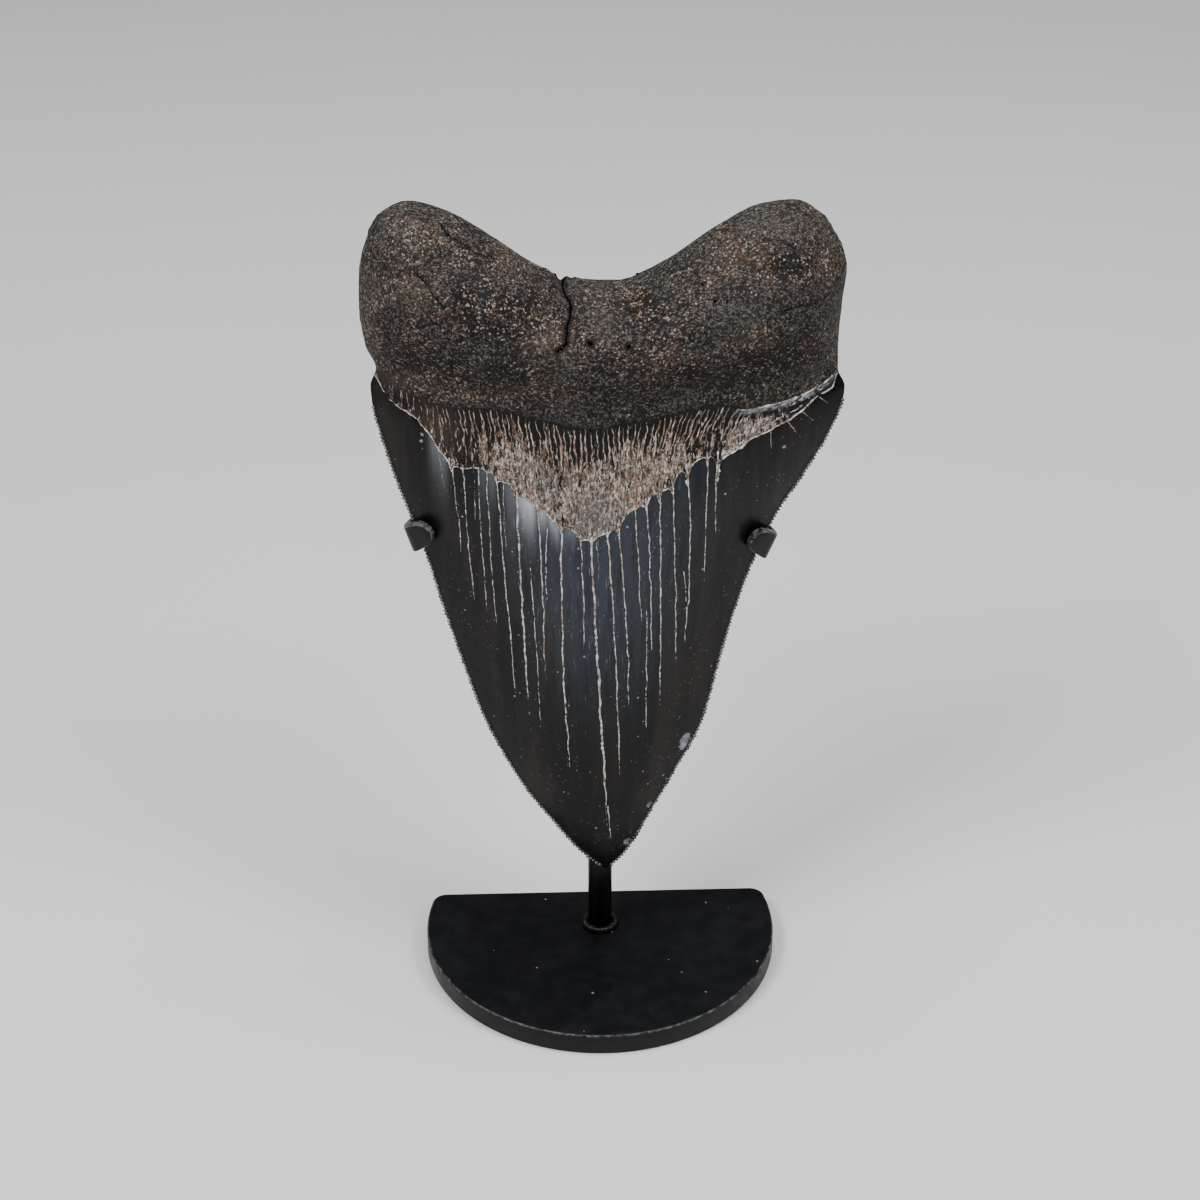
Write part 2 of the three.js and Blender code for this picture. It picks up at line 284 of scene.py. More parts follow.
class Tree:
    """Adds nodes to a tree and joins them up by their sockets."""

    def __init__(self, tree: bpy.types.NodeTree) -> None:
        """Takes the tree that it will fill."""
        self.tree = tree

    def add(self, kind: str, feeds: dict | None = None, **settings: object) -> bpy.types.Node:
        """Adds a node.

        Args:
            kind: the node's type name.
            feeds: for each input, by name or number, either a plain value or the socket that feeds it.
            settings: the node's own properties.

        Returns:
            The new node.
        """
        node = self.tree.nodes.new(kind)
        for key, value in settings.items():
            setattr(node, key, value)
        for key, value in (feeds or {}).items():
            if isinstance(value, Socket):
                self.tree.links.new(value, node.inputs[key])
            else:
                node.inputs[key].default_value = value
        return node

    def feed(self, node: bpy.types.Node, socket: str | int, value: Socket) -> None:
        """Joins a socket to a node's input."""
        self.tree.links.new(value, node.inputs[socket])

    def math(self, operation: str, *values: object, clamp: bool = False) -> Socket:
        """A Math node's result."""
        feeds = dict(enumerate(values))
        return self.add("ShaderNodeMath", feeds, operation=operation, use_clamp=clamp).outputs[0]

    def times(self, a: object, b: object) -> Socket:
        """The product of two numbers."""
        return self.math("MULTIPLY", a, b)

    def ease(self, value: Socket, low: float, high: float, start: float = 0.0,
             end: float = 1.0) -> Socket:
        """Eases a value from start, at low, to end, at high."""
        feeds = {0: value, 1: low, 2: high, 3: start, 4: end}
        return self.add("ShaderNodeMapRange", feeds, interpolation_type="SMOOTHSTEP").outputs[0]

    def blend(self, share: object, a: object, b: object) -> Socket:
        """Blends two colours, with b's share given."""
        return self.add("ShaderNodeMix", {0: share, 6: a, 7: b}, data_type="RGBA").outputs[2]

    def stored(self, name: str) -> bpy.types.Node:
        """A Named Attribute node of a material."""
        return self.add("ShaderNodeAttribute", attribute_name=name)

    def noise(self, vector: object, scale: object, detail: float = 3.0,
              rough: float = 0.55) -> Socket:
        """A noise texture's factor."""
        feeds = {"Vector": vector, "Scale": scale, "Detail": detail, "Roughness": rough}
        return self.add("ShaderNodeTexNoise", feeds).outputs[0]

    def seeded_noise(self, vector: object, seed: object, scale: object, detail: float) -> Socket:
        """A noise texture's factor, whose pattern changes with a seed."""
        feeds = {"Vector": vector, "W": seed, "Scale": scale, "Detail": detail}
        return self.add("ShaderNodeTexNoise", feeds, noise_dimensions="4D").outputs[0]

    def scaled(self, vector: object, scale: object) -> Socket:
        """A vector times a number."""
        return self.add("ShaderNodeVectorMath", {0: vector, "Scale": scale}, operation="SCALE").outputs[0]

    def bump(self, height: object, strength: float, distance: float) -> Socket:
        """The normal that a height gives, with its distance in metres."""
        feeds = {"Strength": strength, "Distance": distance, "Height": height}
        return self.add("ShaderNodeBump", feeds).outputs[0]


def rgb(red: float, green: float, blue: float) -> Colour:
    """A linear colour as Blender stores it."""
    return red, green, blue, 1.0


def add_inputs(group: bpy.types.NodeTree, inputs: dict[str, object]) -> None:
    """Gives a node group its inputs, each of its default value's kind.

    Args:
        group: the group.
        inputs: default values by name, and None for a material.
    """
    kinds = {float: "Float", int: "Int", tuple: "Vector", type(None): "Material"}
    for label, default in inputs.items():
        kind = "NodeSocket" + kinds[type(default)]
        socket = group.interface.new_socket(label, in_out="INPUT", socket_type=kind)
        if default is not None:
            socket.default_value = default


def new_group(name: str, outputs: Sequence[str], **inputs: object) -> tuple[Tree, Sockets, bpy.types.Node]:
    """Starts a shader node group that gets a place and some numbers.

    Args:
        name: the group's name.
        outputs: the names of the numbers that it gives.
        inputs: default values by name, besides the place, Vector.

    Returns:
        The tree, its inputs by name, and its output node.
    """
    group = bpy.data.node_groups.new(name, "ShaderNodeTree")
    add_inputs(group, {"Vector": (0.0, 0.0, 0.0), **inputs})
    for label in outputs:
        group.interface.new_socket(label, in_out="OUTPUT", socket_type="NodeSocketFloat")
    tree = Tree(group)
    return tree, tree.add("NodeGroupInput").outputs, tree.add("NodeGroupOutput")


class Effects:
    """The effects that several finishes share, each a node group that is built once."""

    def __init__(self) -> None:
        """Builds the groups."""
        self.grain = self._grain()
        self.sand = self._sand()
        self.patches = self._patches()
        self.dust = self._dust()
        self.edge_wear = self._edge_wear()

    def cloud(self, t: Tree, seat: Socket, scale: float, low: float,
              high: float) -> Socket:
        """Soft blotches in a material, from the noise's low to high."""
        return place(t, self.patches, {"Vector": seat, "Scale": scale, "Low": low, "High": high}).outputs[0]

    def specks(self, t: Tree, seat: Socket, scale: float, share: float,
               size: float) -> Socket:
        """Dust in a material: in a share of its cells, each speck up to a size."""
        return place(t, self.dust, {"Vector": seat, "Scale": scale, "Share": share, "Size": size}).outputs[0]

    def worn(self, t: Tree, seat: Socket, edge: str, scale: float,
             amount: float) -> Socket:
        """Brighter edges in a material, where its mesh stores the values named edge: wear, and on some pieces
        a painted highlight.
        """
        feeds = {"Vector": seat, "Edge": t.stored(edge).outputs["Fac"], "Scale": scale, "Amount": amount}
        return place(t, self.edge_wear, feeds).outputs[0]

    @staticmethod
    def _grain() -> bpy.types.NodeTree:
        """Sandy grain: a share of dark pores, and a relief to bump with.

        Returns:
            The group's tree.
        """
        tree, given, result = new_group("sandy_grain", ("Pores", "Relief"), Scale=3000.0)
        fine = tree.noise(given["Vector"], given["Scale"], 2.0, 0.6)
        half = tree.times(given["Scale"], 0.43)
        coarse = tree.noise(given["Vector"], half, 2.0, 0.5)
        tree.feed(result, "Pores", tree.ease(coarse, 0.46, 0.34))
        both = tree.math("ADD", fine, coarse)
        tree.feed(result, "Relief", tree.times(both, 0.5))
        return tree.tree

    @staticmethod
    def _sand() -> bpy.types.NodeTree:
        """Packed sand grains: two random numbers for each, the gaps between, and their rounded relief.

        Returns:
            The group's tree.
        """
        outputs = ("Chance", "Second", "Gaps", "Relief")
        tree, given, result = new_group("sand_grains", outputs, Scale=2200.0)
        vector, scale = given["Vector"], given["Scale"]
        wobble = tree.add("ShaderNodeTexNoise", {"Vector": vector, "Scale": scale, "Detail": 1.0})
        centred = tree.add("ShaderNodeVectorMath", {0: wobble.outputs["Color"], 1: (0.5, 0.5, 0.5)},
                           operation="SUBTRACT")
        pushed = tree.scaled(centred.outputs[0], 0.0006)
        seat = tree.add("ShaderNodeVectorMath", {0: vector, 1: pushed}).outputs[0]
        cells = tree.add("ShaderNodeTexVoronoi", {"Vector": seat, "Scale": scale})
        parts = tree.add("ShaderNodeSeparateColor", {0: cells.outputs["Color"]})
        tree.feed(result, "Chance", parts.outputs[0])
        tree.feed(result, "Second", parts.outputs[1])
        tree.feed(result, "Gaps", tree.ease(cells.outputs["Distance"], 0.42, 0.72))
        fine = tree.noise(vector, tree.times(scale, 1.9), 2.0, 0.6)
        rounded = tree.ease(cells.outputs["Distance"], 0.1, 0.75, 1.0, 0.0)
        lift = tree.math("MULTIPLY_ADD", fine, 0.45, tree.times(rounded, 0.6))
        tree.feed(result, "Relief", lift)
        return tree.tree

    @staticmethod
    def _patches() -> bpy.types.NodeTree:
        """Soft-edged blotches.

        Returns:
            The group's tree.
        """
        tree, given, result = new_group("soft_patches", ("Mask",), Scale=100.0, Low=0.45, High=0.65)
        cloud = tree.noise(given["Vector"], given["Scale"], 4.0, 0.6)
        feeds = {0: cloud, 1: given["Low"], 2: given["High"], 3: 0.0, 4: 1.0}
        eased = tree.add("ShaderNodeMapRange", feeds, interpolation_type="SMOOTHSTEP").outputs[0]
        tree.feed(result, "Mask", eased)
        return tree.tree

    @staticmethod
    def _dust() -> bpy.types.NodeTree:
        """Sparse small specks of dust: one in some of the cells of a fine mesh.

        Returns:
            The group's tree.
        """
        tree, given, result = new_group("dust_specks", ("Mask",), Scale=500.0, Share=0.1, Size=0.12)
        feeds = {"Vector": given["Vector"], "Scale": given["Scale"]}
        cells = tree.add("ShaderNodeTexVoronoi", feeds)
        parts = tree.add("ShaderNodeSeparateColor", {0: cells.outputs["Color"]})
        chosen = tree.math("LESS_THAN", parts.outputs[0], given["Share"])
        sized = tree.times(given["Size"], parts.outputs[1])
        near = tree.math("LESS_THAN", cells.outputs["Distance"], sized)
        tree.feed(result, "Mask", tree.times(chosen, near))
        return tree.tree

    @staticmethod
    def _edge_wear() -> bpy.types.NodeTree:
        """Broken brightening along the edges that a piece stores: wear, and on some pieces a painted
        highlight.

        Returns:
            The group's tree.
        """
        tree, given, result = new_group("edge_wear", ("Mask",), Edge=0.0, Scale=900.0, Amount=0.5)
        broken = tree.noise(given["Vector"], given["Scale"], 4.0, 0.65)
        spread = tree.ease(broken, 0.35, 0.7)
        worn = tree.times(spread, given["Edge"])
        mask = tree.math("MULTIPLY", worn, given["Amount"], clamp=True)
        tree.feed(result, "Mask", mask)
        return tree.tree


def place(tree: Tree, group: bpy.types.NodeTree, feeds: dict[str, object]) -> bpy.types.Node:
    """Places a shared effect in a material with its own values."""
    return tree.add("ShaderNodeGroup", feeds, node_tree=group)


# Finishes


def new_material(name: str, viewport: Colour) -> tuple[bpy.types.Material, Tree, bpy.types.Node]:
    """A material with its principled shader.

    Args:
        name: the material's name.
        viewport: its colour in plain views.

    Returns:
        The material, its tree, and the shader node.
    """
    material = bpy.data.materials.new(name)
    material.use_nodes = True
    material.diffuse_color = viewport
    return material, Tree(material.node_tree), material.node_tree.nodes["Principled BSDF"]


@dataclass(frozen=True)
class FossilFinish:
    """The tooth's skin: grainy root, crusted bourlette and glossy enamel, told apart by stored heights."""

    root_dark: tuple = rgb(0.0094, 0.0083, 0.0074)
    root_mid: tuple = rgb(0.0285, 0.0247, 0.0215)
    root_light: tuple = rgb(0.097, 0.088, 0.077)
    root_speck: tuple = rgb(0.280, 0.228, 0.180)
    root_rust: tuple = rgb(0.110, 0.064, 0.040)
    root_slate: tuple = rgb(0.034, 0.037, 0.043)
    collar: tuple = rgb(0.060, 0.042, 0.029)
    # Painted shade: near black for the root's shaded patches, the gaps between grains and flakes, and the
    # floors of cracks and pits
    painted_shade: tuple = rgb(0.0035, 0.0030, 0.0028)
    band: tuple = rgb(0.0040, 0.0035, 0.0032)
    crust: tuple = rgb(0.700, 0.608, 0.525)
    crust_tan: tuple = rgb(0.240, 0.180, 0.142)
    crust_rust: tuple = rgb(0.230, 0.120, 0.075)
    crust_dark: tuple = rgb(0.030, 0.024, 0.020)
    crust_grey: tuple = rgb(0.230, 0.225, 0.222)
    enamel_edge: tuple = rgb(0.0030, 0.0029, 0.0030)
    enamel_core: tuple = rgb(0.030, 0.036, 0.046)
    enamel_brown: tuple = rgb(0.0125, 0.0084, 0.0066)
    # Pale blue white: the painted sheen and highlights, and also the enamel's chips, dust and fine streaks
    pale: tuple = rgb(0.460, 0.490, 0.540)
    gloss: float = 0.2
    grain_per_m: float = 2500.0
    chips: tuple = (
        (17.0, 29.8, 1.3), (17.2, 31.0, 0.8), (16.4, 28.6, 0.75), (9.6, 15.0, 0.85), (4.6, 6.6, 0.9),
        (13.3, 20.8, 0.5), (-36.6, 99.0, 0.34), (-36.6, 97.8, 0.32), (36.5, 95.4, 0.36))

    def build(self, effects: Effects) -> bpy.types.Material:
        """Builds the material.

        Args:
            effects: the shared effects.

        Returns:
            The material.
        """
        material, t, shader = new_material("fossil_tooth", self.root_mid)
        seat = t.stored("tooth_axes").outputs["Vector"]
        names = "enamel_mm neck_mm hollow light warm crust grey pale core groove".split()
        stored = {name: t.stored(name).outputs["Fac"] for name in names}
        sand = place(t, effects.sand, {"Vector": seat, "Scale": self.grain_per_m})
        root, root_rough = self._root(t, effects, seat, stored, sand)
        band, band_rough, band_lift = self._band(t, effects, seat, stored, sand)
        enamel, enamel_rough = self._enamel(t, effects, seat, stored)
        ragged = t.math("MULTIPLY_ADD", t.noise(seat, 900.0, 3.0), 1.2, -0.6)
        on_root = t.ease(t.math("ADD", stored["neck_mm"], ragged), -0.25, 0.25)
        finer = t.times(ragged, 0.35)
        off_enamel = t.ease(t.math("ADD", stored["enamel_mm"], finer), -0.12, 0.12)
        lower = t.blend(off_enamel, enamel, band)
        t.feed(shader, "Base Color", t.blend(on_root, lower, root))
        lower_rough = self._mixed(t, off_enamel, enamel_rough, band_rough)
        t.feed(shader, "Roughness", self._mixed(t, on_root, lower_rough, root_rough))
        matte = t.math("MAXIMUM", on_root, t.times(off_enamel, 0.8))
        relief = t.times(self._mixed(t, on_root, band_lift, sand.outputs["Relief"]), matte)
        silk = t.times(t.noise(self._stretched(t, seat, 0.12), 1500.0, 3.0), 0.04)
        t.feed(shader, "Normal", t.bump(t.math("ADD", relief, silk), 0.9, 0.00042))
        shader.inputs["Specular IOR Level"].default_value = self.gloss
        return material

    @staticmethod
    def _mixed(t: Tree, share: Socket, a: object, b: object) -> Socket:
        """Blends two numbers."""
        return t.add("ShaderNodeMix", {0: share, 2: a, 3: b}, data_type="FLOAT").outputs[0]

    @staticmethod
    def _stretched(t: Tree, seat: Socket, along: float) -> Socket:
        """The tooth's own axes, drawn out along its height so that a pattern streaks."""
        feeds = {"Vector": seat, "Scale": (1.0, along, 1.0)}
        return t.add("ShaderNodeMapping", feeds).outputs[0]

    @staticmethod
    def _above(t: Tree, chance: Socket, limit: float, shift: object,
               by: float) -> Socket:
        """The grains whose random number passes a limit, which a mask lowers by some amount."""
        return t.ease(t.math("MULTIPLY_ADD", shift, by, chance), limit - 0.03, limit + 0.03)

    @staticmethod
    def _threads(t: Tree, seat: Socket, scale: float, width: float) -> Socket:
        """Thin winding threads, which lie where a noise crosses its middle."""
        away = t.math("ABSOLUTE", t.math("SUBTRACT", t.noise(seat, scale, 2.0, 0.5), 0.5))
        return t.ease(away, width, 0.3 * width)

    def _root(self, t: Tree, effects: Effects, seat: Socket, stored: dict,
              sand: bpy.types.Node) -> tuple[Socket, Socket]:
        """The root's finish: dark sand with grey, tan and rusty grains that crowd in patches, with painted
        light and painted shade in patches, and painted shade in the gaps between grains and in the cracks.

        Args:
            t: the material's tree.
            effects: the shared effects.
            seat: the place in the tooth's own axes.
            stored: the values that the mesh stores, by name.
            sand: the sand's node.

        Returns:
            Colour and roughness.
        """
        chance, second = sand.outputs["Chance"], sand.outputs["Second"]
        cloud = effects.cloud(t, seat, 95.0, 0.36, 0.62)
        slate = effects.cloud(t, seat, 61.0, 0.50, 0.66)
        rust = effects.cloud(t, seat, 130.0, 0.47, 0.68)
        # Random tone plus the painted light patches
        lit = t.math("ADD", t.times(cloud, 0.6), stored["light"])
        tinged = t.math("MAXIMUM", rust, stored["warm"])
        base = t.blend(t.math("MINIMUM", lit, 1.0), self.root_dark, self.root_mid)
        base = t.blend(t.times(slate, 0.5), base, self.root_slate)
        base = t.blend(t.times(stored["warm"], 0.7), base, self.collar)
        # Painted shade in the root's shaded patches, broken up by noise
        broken = t.ease(t.noise(seat, 420.0, 4.0, 0.65), 0.3, 0.6, 0.35, 1.0)
        painted_shade_patches = t.times(stored["hollow"], broken)
        colour = t.blend(self._above(t, chance, 0.66, lit, 0.16), base, self.root_light)
        colour = t.blend(t.times(painted_shade_patches, 0.95), colour, self.painted_shade)
        colour = t.blend(self._above(t, second, 0.97, tinged, 0.22), colour, self.root_rust)
        flecked = t.math("MAXIMUM", tinged, painted_shade_patches)
        colour = t.blend(self._above(t, chance, 0.985, flecked, 0.15), colour, self.root_speck)
        # Painted shade in the gaps between sand grains, in the shaded patches, and in the cracks and pits
        colour = t.blend(t.times(sand.outputs["Gaps"], 0.75), colour, self.painted_shade)
        colour = t.blend(t.times(painted_shade_patches, 0.15), colour, self.painted_shade)
        colour = t.blend(stored["groove"], colour, self.painted_shade)
        rough = t.ease(sand.outputs["Relief"], 0.2, 0.8, 0.85, 0.5)
        return colour, rough

    def _band(self, t: Tree, effects: Effects, seat: Socket, stored: dict, sand: bpy.types.Node
              ) -> tuple[Socket, Socket, Socket]:
        """The bourlette's finish: black, with threads and flakes of tan crust towards its point, painted
        shade in the gaps between flakes, and painted sheen and highlight where the stored pale value says.

        Args:
            t: the material's tree.
            effects: the shared effects.
            seat: the place in the tooth's own axes.
            stored: the values that the mesh stores, by name.
            sand: the sand's node.

        Returns:
            Colour, roughness and relief.
        """
        flakes = place(t, effects.sand, {"Vector": self._stretched(t, seat, 0.4), "Scale": 2300.0})
        chance, second = flakes.outputs["Chance"], flakes.outputs["Second"]
        streaks = t.noise(self._stretched(t, seat, 0.16), 1000.0, 3.0, 0.6)
        broken = t.math("MULTIPLY_ADD", streaks, 0.95, t.times(second, 0.14))
        cover = t.math("MULTIPLY_ADD", stored["crust"], 0.42, t.math("SUBTRACT", broken, 0.74))
        mask = t.ease(cover, -0.04, 0.08)
        threads = t.math("MAXIMUM", self._threads(t, self._stretched(t, seat, 0.4), 1000.0, 0.04),
                         self._threads(t, self._stretched(t, seat, 0.7), 1700.0, 0.026))
        tone = t.blend(t.ease(chance, 0.34, 0.40), self.crust_dark, self.crust_tan)
        tone = t.blend(t.ease(chance, 0.80, 0.84), tone, self.crust)
        tone = t.blend(t.ease(second, 0.80, 0.84), tone, self.crust_rust)
        cloud = effects.cloud(t, self._stretched(t, seat, 0.5), 330.0, 0.46, 0.64)
        tone = t.blend(t.times(cloud, 0.62), tone, self.crust_dark)
        ruddy = effects.cloud(t, seat, 170.0, 0.47, 0.6)
        tone = t.blend(t.times(ruddy, 0.42), tone, self.crust_rust)
        bared = t.math("MULTIPLY_ADD", ruddy, -0.35, 1.0)
        seen = t.times(t.ease(chance, 0.1, 0.5, 0.6, 1.0), bared)
        tone = t.blend(t.times(threads, seen), tone, self.crust)
        tone = t.blend(t.times(stored["grey"], 0.58), tone, self.crust_grey)
        # Painted shade in the gaps between flakes and grains
        tone = t.blend(t.times(flakes.outputs["Gaps"], 0.5), tone, self.painted_shade)
        tone = t.blend(t.times(sand.outputs["Gaps"], 0.4), tone, self.painted_shade)
        under = t.blend(t.times(stored["warm"], 0.55), self.band, self.collar)
        colour = t.blend(mask, under, tone)
        # Painted sheen at the enamel's edge and a painted highlight under the root's right edge
        gleam = t.ease(t.noise(seat, 800.0, 3.0), 0.4, 0.58, 0.08, 1.0)
        colour = t.blend(t.times(stored["pale"], gleam), colour, self.pale)
        rough = t.ease(mask, 0.0, 1.0, 0.34, 0.75)
        lift = t.math("MULTIPLY_ADD", t.times(threads, mask), 0.5,
                      t.times(sand.outputs["Relief"], 0.6))
        return colour, rough, lift

    def _enamel(self, t: Tree, effects: Effects, seat: Socket, stored: dict
                ) -> tuple[Socket, Socket]:
        """The enamel's finish: near black at its edges, blue grey up the middle that is partly a painted
        sheen, faintly streaked, with panels of painted sheen under its upper edge.

        Args:
            t: the material's tree.
            effects: the shared effects.
            seat: the place in the tooth's own axes.
            stored: the values that the mesh stores, by name.

        Returns:
            Colour and roughness.
        """
        long_seat = self._stretched(t, seat, 0.08)
        streaks = t.noise(long_seat, 620.0, 4.0, 0.6)
        brown = effects.cloud(t, long_seat, 160.0, 0.42, 0.66)
        edge = t.blend(brown, self.enamel_edge, self.enamel_brown)
        # Blue grey up the middle: partly the enamel's own colour, partly a painted sheen
        core = t.times(stored["core"], t.ease(streaks, 0.25, 0.6, 0.4, 1.0))
        colour = t.blend(core, edge, self.enamel_core)
        hair = t.ease(t.noise(self._stretched(t, seat, 0.03), 2300.0, 3.0, 0.7), 0.6, 0.74)
        colour = t.blend(t.times(hair, t.times(stored["core"], 0.22)), colour, self.pale)
        # Painted sheen: bright panels that fade down from the enamel's upper edge
        worn = t.times(stored["pale"], t.ease(streaks, 0.2, 0.6, 0.45, 1.0))
        colour = t.blend(worn, colour, self.pale)
        flat = t.add("ShaderNodeVectorMath", {0: seat, 1: (1.0, 1.0, 0.0)}, operation="MULTIPLY").outputs[0]
        ragged = t.math("MULTIPLY_ADD", t.noise(seat, 900.0, 3.0), 0.0012, -0.0006)
        for across, up, radius in self.chips:
            feeds = {0: flat, 1: (across * MM, up * MM, 0.0)}
            away = t.add("ShaderNodeVectorMath", feeds, operation="DISTANCE").outputs["Value"]
            reach = t.math("ADD", away, ragged)
            colour = t.blend(t.ease(reach, radius * MM, radius * 0.86 * MM, 0.0, 0.4), colour, self.pale)
        colour = t.blend(t.times(effects.specks(t, seat, 900.0, 0.09, 0.22), 0.42), colour, self.pale)
        fine = effects.specks(t, seat, 2100.0, 0.3, 0.3)
        settled = t.times(fine, effects.cloud(t, seat, 110.0, 0.47, 0.6))
        colour = t.blend(t.times(settled, 0.28), colour, self.pale)
        rough = t.ease(t.noise(long_seat, 1100.0, 3.0), 0.3, 0.7, 0.26, 0.4)
        return colour, rough


@dataclass(frozen=True)
class MineralFinish:
    """Pale mineral: the fill of a crack, the rim of the enamel, the bourlette's ridges."""

    name: str
    light: tuple
    dark: tuple
    gloss: float = 0.4
    grain_per_m: float = 1800.0

    def build(self, effects: Effects) -> bpy.types.Material:
        """Builds the material.

        Args:
            effects: the shared effects.

        Returns:
            The material.
        """
        material, t, shader = new_material(self.name, self.light)
        seat = t.add("ShaderNodeTexCoord").outputs["Object"]
        grain = place(t, effects.grain, {"Vector": seat, "Scale": self.grain_per_m})
        colour = t.blend(effects.cloud(t, seat, 700.0, 0.4, 0.6), self.light, self.dark)
        shader.inputs["Specular IOR Level"].default_value = self.gloss
        shade = tuple(0.16 * v for v in self.dark[:3])
        colour = t.blend(t.times(grain.outputs["Pores"], 0.8), colour, rgb(*shade))
        t.feed(shader, "Base Color", colour)
        rough = t.ease(grain.outputs["Relief"], 0.3, 0.7, 0.5, 0.85)
        t.feed(shader, "Roughness", rough)
        t.feed(shader, "Normal", t.bump(grain.outputs["Relief"], 0.6, 0.00015))
        return material


@dataclass(frozen=True)
class SerrationFinish:
    """The serrations' enamel, worn pale at their tips."""

    dark: tuple = rgb(0.016, 0.014, 0.013)
    worn: tuple = rgb(0.270, 0.260, 0.250)

    def build(self, effects: Effects) -> bpy.types.Material:
        """Builds the material.

        Args:
            effects: the shared effects.

        Returns:
            The material.
        """
        material, t, shader = new_material("serrated_enamel", self.dark)
        seat = t.add("ShaderNodeTexCoord").outputs["Object"]
        grain = place(t, effects.grain, {"Vector": seat, "Scale": 1500.0})
        colour = t.blend(effects.worn(t, seat, "tip", 900.0, 1.0), self.dark, self.worn)
        t.feed(shader, "Base Color", colour)
        t.feed(shader, "Roughness", t.ease(grain.outputs["Relief"], 0.3, 0.7, 0.28, 0.5))
        return material


@dataclass(frozen=True)
class PaintFinish:
    """Satin black paint on steel: a faint orange peel, brighter edges that are partly worn paint and partly a
    painted highlight, and a little dust.
    """

    name: str
    paint: tuple = rgb(0.0020, 0.0022, 0.0030)
    # The edges' lighter colour: worn paint, and on the plate and the strap mostly a painted highlight along
    # their rounded edges
    worn: tuple = rgb(0.030, 0.031, 0.034)
    dust: tuple = rgb(0.180, 0.175, 0.165)
    gloss: float = 0.2
    edge_brightening: float = 0.6
    bloom: float = 0.02
    rough_low: float = 0.36
    rough_high: float = 0.5
    dust_share: float = 0.1

    def build(self, effects: Effects) -> bpy.types.Material:
        """Builds the material.

        Args:
            effects: the shared effects.

        Returns:
            The material.
        """
        material, t, shader = new_material(self.name, self.paint)
        seat = t.add("ShaderNodeTexCoord").outputs["Object"]
        # Edges brightened by the edge colour: partly wear, partly a painted highlight
        edge_brightening = effects.worn(t, seat, "edge", 800.0, self.edge_brightening)
        specks = effects.specks(t, seat, 420.0, self.dust_share, 0.13)
        tone = t.blend(t.times(effects.cloud(t, seat, 60.0, 0.35, 0.7), self.bloom), self.paint, self.worn)
        colour = t.blend(edge_brightening, tone, self.worn)
        colour = t.blend(t.times(specks, 0.8), colour, self.dust)
        t.feed(shader, "Base Color", colour)
        matte = t.ease(t.noise(seat, 240.0, 4.0), 0.3, 0.7, self.rough_low, self.rough_high)
        t.feed(shader, "Roughness", t.math("ADD", matte, t.times(specks, 0.4)))
        t.feed(shader, "Normal", t.bump(t.noise(seat, 1900.0, 2.0), 0.22, 0.0001))
        shader.inputs["Specular IOR Level"].default_value = self.gloss
        return material


@dataclass
class Materials:
    """Every finish of the object, built once."""

    effects: Effects = field(default_factory=Effects)

    def __post_init__(self) -> None:
        """Builds the materials."""
        crack = MineralFinish("crack_mineral", rgb(0.60, 0.60, 0.61), rgb(0.26, 0.21, 0.165))
        ridge = MineralFinish("ridge_mineral", rgb(0.52, 0.44, 0.37), rgb(0.16, 0.10, 0.07))
        gap = MineralFinish("crack_shadow", rgb(0.0016, 0.0014, 0.0012), rgb(0.003, 0.0025, 0.0022), 0.0)
        # The plate's and the strap's lighter edge colours are a painted highlight along their rounded edges,
        # with some wear
        plate = PaintFinish("plate_paint", worn=rgb(0.090, 0.093, 0.100), edge_brightening=1.0, dust_share=0.16)
        rod = PaintFinish("rod_paint", rough_low=0.26, rough_high=0.36, dust_share=0.04)
        strap = PaintFinish("strap_paint", worn=rgb(0.130, 0.134, 0.142), edge_brightening=1.0, rough_low=0.26,
                            rough_high=0.38, dust_share=0.04)
        self.fossil = FossilFinish().build(self.effects)
        self.crack, self.ridge, self.gap = [f.build(self.effects) for f in (crack, ridge, gap)]
        self.serration = SerrationFinish().build(self.effects)
        self.plate, self.rod, self.strap = [f.build(self.effects) for f in (plate, rod, strap)]


# Geometry Nodes


